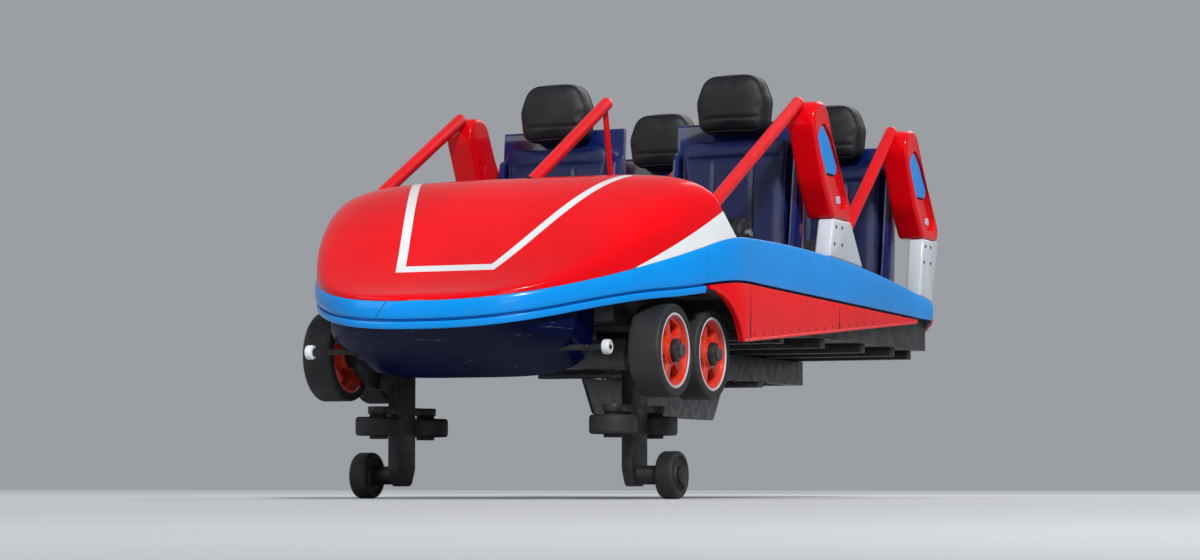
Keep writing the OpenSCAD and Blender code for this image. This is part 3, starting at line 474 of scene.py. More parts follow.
def rounded(points, steps):
    """A 2-D outline from its corners, each (x, y, radius), with the corners rounded."""
    out = []
    for i, (x, y, radius) in enumerate(points):
        corner = np.array((x, y), float)
        if radius <= 0:
            out.append(corner)
            continue
        u, v = (unit(np.array(points[j][:2], float) - corner) for j in (i - 1, (i + 1) % len(points)))
        half = math.acos(max(-1.0, min(1.0, float(u.dot(v))))) / 2
        centre = corner + unit(u + v) * radius / math.sin(half)
        first, last = (corner + w * radius / math.tan(half) - centre for w in (u, v))
        way = math.copysign(1.0, turned(first).dot(last))
        out += [centre + first * math.cos(t) + turned(first) * way * math.sin(t)
                for t in np.linspace(0, math.pi - 2 * half, steps)]
    return np.array(out)


# The body's surfaces, from the same named sizes as the solids
HALF_W, NOSE_Y, NOSE_LEN, FULL_Y, TAIL_Y = 700.0, -700.0, 900.0, 200.0, 2160.0
NOSE_TOP, NOSE_RISE, SILL_Z, ARCH_Y, ARCH_FLAT = 285.0, 0.281, 524.0, 500.0, 25300.0
BAND_H, BAND_T, GROOVE, LIP_H, SPLIT_Y = 55.0, 24.0, 8.0, 22.0, -16.0
CROWN_Z, SHELL_T, RIM_T, TIP_H, TIP_LEN, SEAM = 726.0, 8.0, 22.0, 17.0, 30.0, 0.3
HOOD_SIDE, HOOD_DIP, HOOD_END = 80.0, 47.0, 91.0
WEDGE_Y, WEDGE_END, WEDGE_TIP, WEDGE_Z = -330.0, 80.0, 166.0, 595.0
EDGE_Y, EDGE_Z, FLOOR_TOP = 300.0, (381.0, 346.0), 238.0
WHEEL_ARCH, WHEEL_ARCH_R, PANEL_Y, PANEL_Z, PANEL_END = (-20.0, 70.0), 278.0, 232.0, 188.0, 2000.0

# Powers of the hood's section: height by angle, angle by height, and height by width
RISE, UNRISE, FALL = 0.353, 2.833, 5.66


def smooth(t):
    t = np.clip(t, 0, 1)
    return t * t * (3 - 2 * t)


def soft_min(a, b, k):
    h = np.clip(0.5 + 0.5 * (b - a) / k, 0, 1)
    return b * (1 - h) + a * h - k * h * (1 - h)


def hermite(t, m0, m1):
    return (t ** 3 - 2 * t ** 2 + t) * m0 + 3 * t ** 2 - 2 * t ** 3 + (t ** 3 - t ** 2) * m1


def half_at(y):
    ahead = np.clip((FULL_Y - y) / NOSE_LEN, 0, 1)
    return HALF_W * np.maximum(0, 1 - ahead ** 1.5) ** 0.4


def side_normal(y):
    """Outward direction of the plan outline at y, as (x, y) parts, on the car's left."""
    slope = (half_at(y + 2) - half_at(y - 2)) / 4
    size = np.sqrt(1 + slope ** 2)
    return 1 / size, -slope / size


def band_top(y):
    return soft_min(NOSE_TOP + NOSE_RISE * (y - NOSE_Y), SILL_Z - (y - ARCH_Y) ** 2 / ARCH_FLAT, 30.0)


def band_bottom(y):
    """An arched edge ahead of EDGE_Y and a straight one behind it, with a soft turn between them."""
    def edge(at):
        arched = band_top(at) - BAND_H - np.interp(at, [NOSE_Y, -380, SPLIT_Y, EDGE_Y], [0, 3, 65, 86])
        return np.where(at < EDGE_Y, arched, np.interp(at, [EDGE_Y, TAIL_Y], EDGE_Z))
    return np.mean([edge(y + d) for d in (-130, -90, -50, 0, 50, 90, 130)], axis=0)


def belly_top(y):
    return band_bottom(y) - GROOVE - LIP_H + 14


def panel_top(y):
    return band_bottom(y) - GROOVE


def panel_bottom(y):
    if y < PANEL_Y:
        return WHEEL_ARCH[1] + math.sqrt(WHEEL_ARCH_R ** 2 - (y - WHEEL_ARCH[0]) ** 2)
    end = panel_top(PANEL_END) - 12
    return PANEL_Z + (end - PANEL_Z) * (y - PANEL_Y) / (PANEL_END - PANEL_Y)


def hood_end(k):
    """The hood's rear edge, from a side at k = 0 to the middle at k = 1."""
    return np.where(k < 0.5, HOOD_SIDE + (HOOD_DIP - HOOD_SIDE) * smooth(2 * k),
                    HOOD_DIP + (HOOD_END - HOOD_DIP) * smooth(2 * k - 1))


def crown(y):
    t = (y - NOSE_Y) / (HOOD_END - NOSE_Y)
    tip = TIP_H * np.sqrt(np.clip(1 - (1 - np.clip((y - NOSE_Y) / TIP_LEN, 0, 1)) ** 2, 0, 1))
    return NOSE_TOP + tip + (CROWN_Z - NOSE_TOP - TIP_H) * hermite(t, 0.5, 0.09)


def hood_point(a, y, inset):
    width = np.maximum(1, half_at(y) - inset)
    low = band_top(y) + SEAM
    high = np.maximum(low + 2, crown(y) - inset)
    x = np.sign(np.cos(a)) * width * np.sqrt(np.abs(np.cos(a)))
    return np.stack([x, y, low + (high - low) * np.sin(a) ** RISE], -1)


def hood_height(x, y):
    share = (1 - np.clip(np.abs(x) / half_at(y), 0, 1) ** 4) ** (1 / FALL)
    low = band_top(y) + SEAM
    return low + (crown(y) - low) * share


def wedge_top(y):
    start = band_top(WEDGE_Y)
    return start + (WEDGE_Z - start) * (y - WEDGE_Y) / (WEDGE_END - WEDGE_Y)


def wedge_angle(y):
    share = np.clip((wedge_top(y) - band_top(y)) / np.maximum(10, crown(y) - band_top(y)), 0, 0.9)
    return np.where(y <= WEDGE_Y, 0.0, np.arcsin(share ** UNRISE))


def side_to_side(count):
    """Columns of a grid across the car: 0 at the sides and 1 in the middle, and which lie past the middle."""
    place = np.linspace(-1, 1, 2 * count + 1)[None, :]
    return 1 - np.abs(place), place > 0


def add_hood(rows=96, side=56):
    s = np.linspace(0, 1, rows + 1)[:, None]
    t = 0.0003 + 0.9997 * (1 - np.clip(np.cos(math.pi / 2 * s), 0, 1) ** 1.15)
    k, second = side_to_side(side)
    grids = []
    for inset in (0 * t, SHELL_T + (RIM_T - SHELL_T) * smooth((t - 0.9) / 0.07)):
        y = NOSE_Y + (hood_end(k) - RIM_T / 2 - NOSE_Y) * t + 4 * inset * (1 - t) ** 4
        start = wedge_angle(y)
        a = start + (math.pi / 2 - start) * k ** 1.6
        grids.append(hood_point(np.where(second, math.pi - a, a), y, inset))
    add("hood_skin", [shell(*grids, 6)], "hood_red", "nose_hood", angle=50.0)


def ribbon(path, width, step=12.0, across=4):
    """Rows of points across a flat line along corners (x, y), mitred where it turns."""
    path = np.array(path, float)
    legs, edges, rows = unit(np.diff(path, axis=0)), [], []
    for i, corner in enumerate(path):
        behind, ahead = legs[max(i - 1, 0)], legs[min(i, len(legs) - 1)]
        normal = unit(turned(ahead + behind))
        reach = width / 2 / max(0.3, abs(normal.dot(turned(ahead))))
        edges.append(np.array((corner + normal * reach, corner - normal * reach)))
    for i in range(len(legs)):
        steps = max(2, int(math.dist(path[i + 1], path[i]) / step))
        for s in np.linspace(0, 1, steps, endpoint=i == len(legs) - 1):
            left, right = edges[i] + (edges[i + 1] - edges[i]) * s
            rows.append([left + (right - left) * w for w in np.linspace(0, 1, across + 1)])
    return np.array(rows)


def add_stripe():
    path = [(-379, 40), (-340, -57), (-158, -505), (158, -505), (340, -57), (379, 40)]
    x, y = np.moveaxis(ribbon(path, 30.0), -1, 0)
    sheets = [np.stack([x, y, hood_height(x, y) + lift], -1) for lift in (0.9, -0.9)]
    add("hood_stripe", [shell(*sheets)], "trim_white", angle=50.0)


def add_wedges(rows=70, cols=16):
    k = np.linspace(0, 1, cols + 1)[None, :]
    start, end = WEDGE_Y + 14, WEDGE_TIP + (WEDGE_END - WEDGE_TIP) * k - SHELL_T / 2
    y = start + (end - start) * np.linspace(0, 1, rows + 1)[:, None]
    low = band_top(y) + SEAM
    z = low + (np.minimum(wedge_top(y), WEDGE_Z) - low) * k
    share = np.clip((z - low) / np.maximum(10, crown(np.minimum(y, HOOD_END)) - low), 0, 0.98)
    grids = [np.stack([(half_at(y) - inset) * (1 - share ** FALL) ** 0.25, y, z - inset * share], -1)
             for inset in (0.0, SHELL_T)]
    add("wedge_skins", both_sides(shell(*grids, 5)), "trim_white", "side_wedges", angle=50.0)


def ring_at(outline, x, y, nx, ny):
    """Outline points (outward, z) stood across the plan outline at one of its points."""
    out, z = np.asarray(outline, float).T
    return np.stack([x + nx * out, y + ny * out, z], -1)


def side_ring(outline, y):
    return ring_at(outline, half_at(y), y, *side_normal(y))


def nose_plan(a):
    return np.sign(a) * HALF_W * np.abs(np.sin(a)) ** 0.8, FULL_Y - NOSE_LEN * np.cos(a) ** (4 / 3)


def nose_stations(count):
    """Plan outline points and normals round the nose, from the right split to the left one."""
    limit, d = math.acos(((FULL_Y - SPLIT_Y) / NOSE_LEN) ** 0.75), 0.004
    a = np.linspace(-limit, limit, count)
    dx, dy = np.subtract(nose_plan(a + d), nose_plan(a - d))
    size = np.hypot(dx, dy)
    return *nose_plan(a), dy / size, -dx / size


FACE_STEPS = (0.12, 0.24, 0.37, 0.5, 0.63, 0.76, 0.88)


def face_swell(share):
    return 5 * math.sin(math.pi * share) ** 0.6


def band_outline(y, lip):
    low, high = band_bottom(y), band_top(y)
    swollen = [(face_swell(s), low + s * (high - low), 0) for s in FACE_STEPS]
    points = [(0, low, 2.5), *swollen, (0, high, 3.5), (-BAND_T, high, 2)]
    if lip:
        rim, foot = low - GROOVE, low - GROOVE - LIP_H
        points = [(-BAND_T, foot, 2), (-3, foot, 3), (-0.5, rim - 8, 6), (-1, rim, 2), (-14, rim, 2),
                  (-14, low, 2), *points]
    else:
        points = [(-BAND_T, low, 2), *points]
    return rounded(points, 4)


def add_bands():
    nose = [ring_at(band_outline(y, True), x, y, nx, ny) for x, y, nx, ny in zip(*nose_stations(161))]
    add("nose_band_skin", [loft(nose)], "band_blue", "nose_band", angle=40.0)
    side = [side_ring(band_outline(y, False), y) for y in np.linspace(SPLIT_Y + 1, TAIL_Y, 150)]
    add("side_band_skins", both_sides(loft(side)), "band_blue", "side_bands", angle=40.0)


def add_band_seam():
    """The slanting joint in the front of the nose band."""
    xs, ys, nx, ny = nose_stations(1601)
    rows = []
    for s in np.linspace(0.03, 0.97, 14):
        row = []
        for x in (-151.3 + 44.0 * s, -148.7 + 44.0 * s):
            i = int(np.argmin(abs(xs - x)))
            low, high = band_bottom(ys[i]), band_top(ys[i])
            out = face_swell(s) + 0.25
            row.append((xs[i] + nx[i] * out, ys[i] + ny[i] * out, low + s * (high - low)))
        rows.append(row)
    outer = np.array(rows)
    add("band_seam", [shell(outer, outer + (0, 3, 0))], "band_blue", look="seam_dark")


def add_lower_panels():
    rings = []
    for y in [*np.linspace(8, PANEL_Y, 46), *np.linspace(PANEL_Y, PANEL_END, 90)[1:]]:
        high = panel_top(y)
        low = min(panel_bottom(y), high - 6)
        outline = [(-BAND_T, low, 1), (-5, low, 2.4), (-3, high, 1), (-BAND_T, high, 1)]
        rings.append(side_ring(rounded(outline, 4), y))
    add("lower_panel_skins", both_sides(loft(rings)), "panel_red", "lower_panels", angle=40.0)


def add_panel_details():
    """Rolled edges, seams and rivets of the red lower panels."""
    edges = [sweep([side_ring([(-7, panel_bottom(y) + 2)], y)[0] for y in stations], 4.5, 12)
             for stations in (np.linspace(12, 231, 40), np.linspace(234, 1990, 60))]
    add("panel_edges", both_sides(*edges), "panel_red")
    seams, rivets = [], []
    for y in (288.0, 1140.0):
        ends = (panel_bottom(y) + 8, panel_top(y) - 4)
        strip = np.array([[(HALF_W - 3.4, y + w, z) for w in (-1.6, 1.6)] for z in ends])
        seams += both_sides(shell(strip + (0.4, 0, 0), strip - (4, 0, 0)))
    add("panel_seams", seams, "panel_red", look="seam_dark")
    head = [(5.5, 0), (5.2, 1.4), (3.4, 2.6), (1, 3)]
    for y in np.arange(330, 1990, 83.0):
        low, high = panel_bottom(y), panel_top(y)
        if high - low > 60:
            for z in (high - 16, low + 18):
                rivets += both_sides(revolve(head, (HALF_W - 4.2, y, z), ACROSS, 12))
    add("panel_rivets", rivets, "panel_red")


def add_belly(rows=48, side=44):
    front, rear, wide, lowest = NOSE_Y + 70, -330.0, 420.0, 64.0
    s = np.linspace(0, 1, rows + 1)[:, None]
    k, second = side_to_side(side)
    turn = math.pi / 2 * k ** 1.5
    start = belly_top(front) - 16
    grids = []
    for inset in (0.0, SHELL_T):
        y = front + (rear - front) * s ** 1.25 + inset * 3 * (1 - s) ** 2
        high = belly_top(y)
        drop = (start - lowest) * np.clip((y - front) / (rear - front), 0, 1) ** 0.9
        low = np.minimum(high - 3, start - drop + inset)
        width = soft_min(half_at(y) - (BAND_T + 3.5) / side_normal(y)[0], wide, 20.0) - inset
        x = np.where(second, 1, -1) * width * np.sqrt(np.cos(turn))
        grids.append(np.stack([x, y + 0 * x, high - (high - low) * np.sin(turn) ** 0.42], -1))
    add("belly_skin", [shell(*grids, 4)], "belly_navy", "nose_belly", angle=50.0)


def add_nose_wells():
    """Sheets that close the nose beside the belly and ahead of the wheel boxes, out to the band."""
    front, belly_end, box_front, belly_half, box_half = -470.0, -331.0, -299.5, 400.0, 468.0
    rows = []
    for y in [*np.linspace(front, belly_end - 3, 9), *np.linspace(belly_end, box_front, 5)]:
        low, near_box = band_bottom(y), max(0.0, (y - belly_end) / (box_front - belly_end))
        inner, rim = belly_half + (box_half - belly_half) * near_box, low - 12 + 14 * near_box
        outer = half_at(y) - (BAND_T + 3) / side_normal(y)[0]
        slope = [(inner + (outer - inner) * t, y, rim + (low + 8 - rim) * t) for t in np.linspace(0, 1, 5)]
        rows.append([(inner, y, FLOOR_TOP if y >= belly_end else rim - 1), *slope])
    top = np.array(rows)
    add("nose_wells", both_sides(shell(top, top + (3, 0, -4))), "floor_grey")


def add_fittings():
    """White round fittings on dark arms, beside the belly."""
    at = np.array((500.0, -438.0, 147.0))
    arm = revolve([(9, 0), (9, 100), (7.5, 102), (7.5, 108), (9, 110), (9, 154.5)], at - (153, 0, 0), ACROSS, 24)
    collar = revolve([(9, 0), (14, 1), (14, 7), (9, 9)], at - (9, 0, 0), ACROSS, 6)
    disc = revolve([(18, -1), (22.2, 1), (23, 5), (23, 17), (21.5, 21), (17.5, 22.8), (16, 21.5), (4, 21)], at,
                   ACROSS, 48)
    add("fitting_discs", both_sides(disc), "trim_white", "side_fittings")
    add("fitting_arms", both_sides(arm, collar, *hex_bolt(at + (21, 0, 0), ACROSS, 10)), "chassis_dark")


def modify(piece, kind, **settings):
    assign(piece.modifiers.new(kind, kind), **settings)
    apply_modifiers(piece)


def apply_modifiers(piece):
    bpy.context.view_layer.update()
    graph = bpy.context.evaluated_depsgraph_get()
    data = bpy.data.meshes.new_from_object(piece.evaluated_get(graph))
    piece.modifiers.clear()
    piece.data = data


def rounded_copy(name, width, look=None):
    """A copy of a rigid node's mesh, welded and with its edges rounded."""
    piece = bpy.data.objects.new(name + "_skin", nodes[name].data.copy())
    bpy.context.scene.collection.objects.link(piece)
    work = bmesh.new()
    work.from_mesh(piece.data)
    bmesh.ops.remove_doubles(work, verts=work.verts, dist=0.00002)
    bmesh.ops.dissolve_limit(work, angle_limit=math.radians(0.8), verts=work.verts, edges=work.edges)
    work.to_mesh(piece.data)
    work.free()
    modify(piece, "BEVEL", width=width * MM, segments=2, limit_method="ANGLE", angle_limit=math.radians(28.0))
    smooth_by_angle(piece.data)
    finish_piece(piece, BODY_OF[name], SLOT_OF[name], name, look=look)


def facing_out(points):
    """Unit normals of a closed 2-D outline, pointing away from its inside."""
    ahead = np.roll(points, -1, axis=0) - np.roll(points, 1, axis=0)
    normal = unit(np.stack([ahead[:, 1], -ahead[:, 0]], -1))
    x, y = points.T
    area = (x * np.roll(y, -1) - np.roll(x, -1) * y).sum()
    return normal if area > 0 else -normal


def even(points, count):
    """A closed outline as count points, evenly spaced along it."""
    points = np.vstack([points, points[:1]])
    run = np.concatenate([[0], np.cumsum(np.linalg.norm(np.diff(points, axis=0), axis=1))])
    wanted = np.linspace(0, run[-1], count, endpoint=False)
    return np.stack([np.interp(wanted, run, points[:, i]) for i in (0, 1)], -1)


def in_step(points, partner):
    """The same outline, started where it lies closest to its partner's points."""
    a, b = points - points.mean(axis=0), partner - partner.mean(axis=0)
    best = min(range(len(points)), key=lambda i: ((np.roll(a, -i, axis=0) - b) ** 2).sum())
    return np.roll(points, -best, axis=0)


def low_edge(low, radius, steps=5):
    """(inset, height) pairs up a rounded lower edge."""
    turn = np.linspace(0, math.pi / 2, steps)
    return [(radius * (1 - math.sin(t)), low + radius * (1 - math.cos(t))) for t in turn]


def high_edge(high, radius, steps=5):
    return [(inset, high - rise) for inset, rise in low_edge(0.0, radius, steps)[::-1]]


def at_x(outline, x):
    """Points of an outline in Y and Z, stood across X."""
    return np.insert(outline, 0, x, axis=1)


def plate(outline, low, high, radius, count=120, swell=0.0):
    """A plate across X with rounded edges, from an outline in Y and Z."""
    points = even(outline, count)
    normal, centre = facing_out(points), points.mean(axis=0)
    edges = low_edge(low, radius) + high_edge(high, radius)
    rings = [at_x(points - normal * inset, x) for inset, x in edges]
    face = points - normal * radius
    rings += [at_x(centre + (face - centre) * s, high + swell * (1 - s ** 2)) for s in (0.8, 0.55, 0.3, 0.05)]
    return loft(rings)


ROWS, SEAT_X = (0.0, 990.0), 340.0
SEATS = [(f"{end}_{side}", s * SEAT_X, r) for r, end in zip(ROWS, ("front", "rear"))
         for side, s in (("left", 1), ("right", -1))]

# Wings beside the headrests: faces across X, upper rear corner, lower edge and depth of the recess
WING_IN, WING_OUT, WING_Y, WING_Z, WING_LOW, RECESS = 599.0, 699.0, 841.0, 1040.0, 648.3, 14.0
WING = [(0, 0, 70), (171, 0, 80), (251, -135, 160), (415, -335, 60), (421, WING_LOW - WING_Z, 26),
        (237, WING_LOW - WING_Z, 30), (144, -280, 200)]
WING_HOLLOW = [(80, -132, 24), (140, -62, 40), (232, -118, 90), (372, -312, 40), (372, -356, 26), (268, -356, 26),
               (168, -240, 30)]
WING_INSET = [(84, -134, 22), (139, -68, 34), (210, -124, 60), (316, -240, 24), (172, -240, 20)]
WING_TAG = [(296, -312, 5), (332, -308, 5), (342, -334, 5), (301, -337, 5)]


def from_wing(points):
    return rounded([(WING_Y + y, WING_Z + z, r) for y, z, r in points], 9)


def at_wings(shape):
    return both_sides(*(move(shape, y=r) for r in ROWS))


def add_wings(count=180, radius=13.0):
    body = even(from_wing(WING), count)
    hollow = in_step(even(from_wing(WING_HOLLOW), count), body)
    normal, dent = facing_out(body), facing_out(hollow)
    edges = low_edge(WING_IN, radius, 6) + high_edge(WING_OUT, radius, 6)
    rings = [at_x(body - normal * inset, x) for inset, x in edges]
    face = body - normal * radius
    for share, sink in ((0.2, 0.0), (0.45, 1.2), (0.75, 1.6)):
        rings.append(at_x(face + (hollow + dent * 3 - face) * share, WING_OUT - sink))
    for grow, sink in ((3.0, 1.6), (1.0, 2.2), (0.0, 4.0), (0.0, RECESS - 2.5), (-2.5, RECESS)):
        rings.append(at_x(hollow + dent * grow, WING_OUT - sink))
    add("wing_skins", at_wings(loft(rings)), "wing_red", "side_wings", angle=32.0)
    floor, inset, tag = WING_OUT - RECESS, from_wing(WING_INSET), from_wing(WING_TAG)
    add("wing_inset_skins", at_wings(plate(inset, floor + 0.5, floor + 7.0, 2.2, swell=1.2)), "band_blue",
        "wing_insets")
    # A dark rim round the blue inset on the recess floor: painted shade in the recess
    gap = plate(inset + facing_out(inset) * 5.5, floor - 1.0, floor + 1.4, 0.6)
    add("wing_inset_shade_rims", at_wings(gap), "wing_red", look="seam_dark")
    add("wing_tags", at_wings(plate(tag, floor - 0.5, floor + 2.2, 0.9, 60)), "liner_grey")


def bent(corners, steps=8):
    """Points along an open path of (y, z, bend radius) corners in the plane x = 0."""
    closed = rounded([*corners, (corners[0][0] - 1e4, corners[0][1] - 1e4, 0)], steps)
    return at_x(closed[:-1], 0.0)


def spaced(path, step=12.0):
    """A path with extra points on its straight stretches."""
    path, out = np.array(path, float), []
    for a, b in zip(path, path[1:]):
        count = max(1, int(math.dist(a, b) / step))
        out += [a + (b - a) * i / count for i in range(count)]
    return np.array([*out, path[-1]])


def tube(path, radius, round_ends=(False, False), sides=32):
    """A round tube along a path, with its ends domed where wanted."""
    rings = sweep(spaced(path), radius, sides)[0].reshape(-1, sides, 3)
    for wanted in round_ends:
        if wanted:
            centre = rings[0].mean(axis=0)
            inward = unit(rings[1].mean(axis=0) - centre)
            dome = [centre + (rings[0] - centre) * max(0.04, math.cos(t)) - inward * radius * math.sin(t)
                    for t in np.linspace(0, math.pi / 2, 7)[1:]]
            rings = np.concatenate([dome[::-1], rings])
        rings = rings[::-1]
    return loft(rings)


def foot_plate(at, radius=26.0, thick=6.0):
    """A round mounting plate with a rounded edge and three bolts on it."""
    at = np.array(at, float)
    profile = [(radius - 1, 0), (radius, 1), (radius, thick - 1.5), (radius - 1.5, thick)]
    axis, side, other = axes_of(UP)
    shapes = [revolve(profile, at, UP, 32)]
    for turn in np.arange(3) * 2 * math.pi / 3 + 0.5:
        out = (side * math.cos(turn) + other * math.sin(turn)) * radius * 0.8
        shapes += hex_bolt(at + axis * thick + out, UP, 10)
    return shapes


SIDE_RAIL_X, RAIL_R, STRUT_R = 640.0, 22, 10


def add_rails():
    """Grab rails at the sides, and between the seats with a strut and its foot plate."""
    front = tube(bent([(88, 470, 0), (88, 611, 60), (882, 1028, 0)]), RAIL_R, (False, True))
    rear = tube([(0, 1290, 570), (0, 1872, 1028)], RAIL_R, (True, True))
    sides = both_sides(*(move(rail, SIDE_RAIL_X) for rail in (front, rear)))
    add("side_rail_tubes", sides, "rail_red", "side_rails")
    start, end = (0, 92, 703.5), (0, 719, 1038)
    rail, strut = tube([start, end], RAIL_R, (False, True)), tube([(0, 706, 1030), (0, 835, 436)], STRUT_R)
    collar = revolve([(30, 0), (31, 1), (31, 4), (27, 8), (22.5, 9)], start, (0, 627, 335), 32)
    rails, struts, plates = [], [], []
    for r in ROWS:
        rails.append(move(rail, y=r))
        struts.append(move(strut, y=r))
        plates += [move(shape, y=r) for shape in (collar, *foot_plate((0, 834, 429)))]
    add("centre_rail_tubes", rails + struts, "rail_red", "centre_rails")
    add("rail_collars", plates, "chassis_dark")


WHEEL_X, WHEEL_Y, WHEEL_Z = 568.0, 155.0, 145.0


def add_running_wheels():
    tread = [(120.05, -52), (124, -52), (130, -51.2), (132, -52.2), (136, -52)]
    tread += [(136 + 9 * math.sin(t), -43 - 9 * math.cos(t)) for t in np.linspace(0.3, 1.57, 5)]
    tread = mirrored([*tread, (145.05, -28), (145.2, 0)])
    lip = [(113.5 + 4.2 * math.cos(t), 48.5 + 3 * math.sin(t)) for t in np.arange(10) * math.pi / 5]
    for (end, e), (side, s) in product((("front", -1), ("rear", 1)), (("left", 1), ("right", -1))):
        name, axis = f"{end}_{side}", (s, 0, 0)
        wheel, at = f"wheel_{name}", np.array((s * WHEEL_X, e * WHEEL_Y, WHEEL_Z))
        add(f"tread_{name}", [ring_solid(tread, at, axis, 128)], "tyre_dark", f"tyre_{name}", body=wheel)
        add(f"rim_ring_{name}", [ring_solid(lip, at, axis, 128)], "liner_grey", body=wheel)
        bolts = []
        for turn in np.radians(36 + 72 * np.arange(5)):
            bolts += hex_bolt(at + (s * 44.9, 34 * math.cos(turn), 34 * math.sin(turn)), axis, 9)
        add(f"hub_bolts_{name}", bolts, "bare_steel", body=wheel)
        add(f"axle_nut_{name}", hex_bolt(at + (s * 57.5, 0, 0), axis, 40), "bare_steel", body=f"bogie_{side}")


def pad_rings(outline, high, crown, edge, bulge):
    """Rings of (u, v, w) over a pad lying on w = 0: a flat back, boxed sides and a crowned face."""
    centre, normal = outline.mean(axis=0), facing_out(outline)
    sides = [(-bulge * math.sin(math.pi * s), edge + s * (high - 2 * edge)) for s in (0.3, 0.5, 0.7)]
    rows = low_edge(0.0, edge * 0.6) + sides + high_edge(high, edge, 6)
    rings = [np.insert(centre + (outline - centre) * s, 2, 0.0, axis=1) for s in (0.03, 0.4, 0.75)]
    rings += [np.insert(outline - normal * inset, 2, w, axis=1) for inset, w in rows]
    face = outline - normal * edge
    rings += [np.insert(centre + (face - centre) * s, 2, high + crown * (1 - s ** 2.2), axis=1)
              for s in np.linspace(0.94, 0.03, 14)]
    return np.array(rings)


def pulled_in(half_u, half_v, corner, pull, count=160):
    """A rounded rectangle about (0, 0) whose sides are drawn in between the corners."""
    corners = [(u * half_u, v * half_v, corner) for u, v in ((-1, -1), (1, -1), (1, 1), (-1, 1))]
    points = even(rounded(corners, 10), count)
    u, v = points[:, 0] / half_u, points[:, 1] / half_v
    return np.stack([points[:, 0] * (1 - pull / half_u * (1 - v ** 2) ** 2),
                     points[:, 1] * (1 - pull / half_v * (1 - u ** 2) ** 2)], -1)


def coords(piece):
    points = np.empty(len(piece.data.vertices) * 3)
    piece.data.vertices.foreach_get("co", points)
    return points.reshape(-1, 3) / MM


def set_coords(piece, points):
    piece.data.vertices.foreach_set("co", (points * MM).ravel())
    piece.data.update()


def shape_of(piece):
    return coords(piece), [list(f.vertices) for f in piece.data.polygons]


def inflate(piece, held, cap, frames=20):
    """Lets a piece swell as cloth, by less than the cap and not where it is held."""
    start = coords(piece)
    group = piece.vertex_groups.new(name="held")
    for i, weight in enumerate(held):
        if weight > 0:
            group.add([i], float(weight), "REPLACE")
    cloth = piece.modifiers.new("cloth", "CLOTH")
    assign(cloth.settings, quality=5, mass=0.3, use_pressure=True, uniform_pressure_force=4.0,
           vertex_group_mass="held")
    cloth.settings.effector_weights.gravity = 0.0
    assign(cloth.point_cache, frame_start=1, frame_end=frames)
    for frame in range(1, frames + 1):
        bpy.context.scene.frame_set(frame)
    apply_modifiers(piece)
    piece.vertex_groups.clear()
    bpy.context.scene.frame_set(1)
    shift = coords(piece) - start
    size = np.linalg.norm(shift, axis=1, keepdims=True)
    set_coords(piece, start + shift * (cap * np.tanh(size / cap) / np.maximum(1e-6, size)))


class Pad:
    """A padded piece in its own frame, given by an origin and the directions right, up and out."""

    def __init__(self, origin, right, up, out, rings):
        self.origin = np.array(origin, float)
        self.axes = np.array([right, up, out], float)
        self.piece = joined("pad", [loft(self.to_car(rings))], 60.0)

    def to_car(self, local):
        return self.origin + np.asarray(local) @ self.axes

    def to_pad(self, points):
        return (points - self.origin) @ self.axes.T

    def swell(self, voxel, cap, lines=(), back=6.0):
        """Remeshes the pad, swells it off its back and its sewn lines, each (axis, place, low, high) on the face,
        and smooths it."""
        modify(self.piece, "REMESH", mode="VOXEL", voxel_size=voxel * MM)
        modify(self.piece, "SMOOTH", factor=0.5, iterations=2)
        local = self.to_pad(coords(self.piece))
        held = np.where(local[:, 2] < back, 1.0, 0.0)
        for axis, place, low, high in lines:
            other = local[:, 1 - axis]
            near = (abs(local[:, axis] - place) < 5.0) & (other > low) & (other < high) & (local[:, 2] > back)
            held = np.maximum(held, near * 0.8)
        inflate(self.piece, held, cap)
        modify(self.piece, "SUBSURF", levels=1, render_levels=1)

    def press(self, lines, depth, width=6.5):
        """Draws the surface in along sewn lines, deepest in the middle of each."""
        local = self.to_pad(coords(self.piece))
        normals = np.array([v.normal[:] for v in self.piece.data.vertices]) @ self.axes.T
        sink = np.zeros(len(local))
        for axis, place, low, high in lines:
            off, other = (local[:, axis] - place) / width, local[:, 1 - axis]
            ends = np.clip(np.minimum(other - low, high - other) / 18.0, 0, 1)
            sink = np.maximum(sink, depth * np.exp(-off ** 2) * ends)
        local[:, 2] -= sink * np.clip(normals[:, 2], 0, 1)
        set_coords(self.piece, self.to_car(local))

    def surface(self):
        points, faces = shape_of(self.piece)
        return BVHTree.FromPolygons(points.tolist(), faces)

    def piping(self, outline, height, radius=3.0):
        """A welt round the pad at a height, laid on its surface."""
        tree, path = self.surface(), []
        for u, v in [*outline, outline[0]]:
            spot, normal, *_ = tree.find_nearest(Vector(self.to_car((u, v, height))))
            path.append(np.array(spot) + np.array(normal) * radius * 0.35)
        path = np.array(path)
        for _ in range(3):
            path[:-1] = (np.roll(path[:-1], 1, axis=0) + 2 * path[:-1] + np.roll(path[:-1], -1, axis=0)) / 4
            path[-1] = path[0]
        return sweep(path, radius, 8)

    def stitches(self, lines, pitch=8.0, length=5.0, radius=0.9):
        """Thread stitches along sewn lines, laid on the surface."""
        tree, inward, shapes = self.surface(), -Vector(self.axes[2]), []
        for axis, place, low, high in lines:
            for run in np.arange(low + 14, high - 14, pitch):
                ends = []
                for t in (run, run + length / 2, run + length):
                    above = (place, t, 200.0) if axis == 0 else (t, place, 200.0)
                    hit, normal, *_ = tree.ray_cast(Vector(self.to_car(above)), inward)
                    if hit is not None:
                        ends.append(np.array(hit) + np.array(normal) * radius * 0.4)
                if len(ends) == 3:
                    shapes.append(sweep(ends, radius, 6))
        return shapes


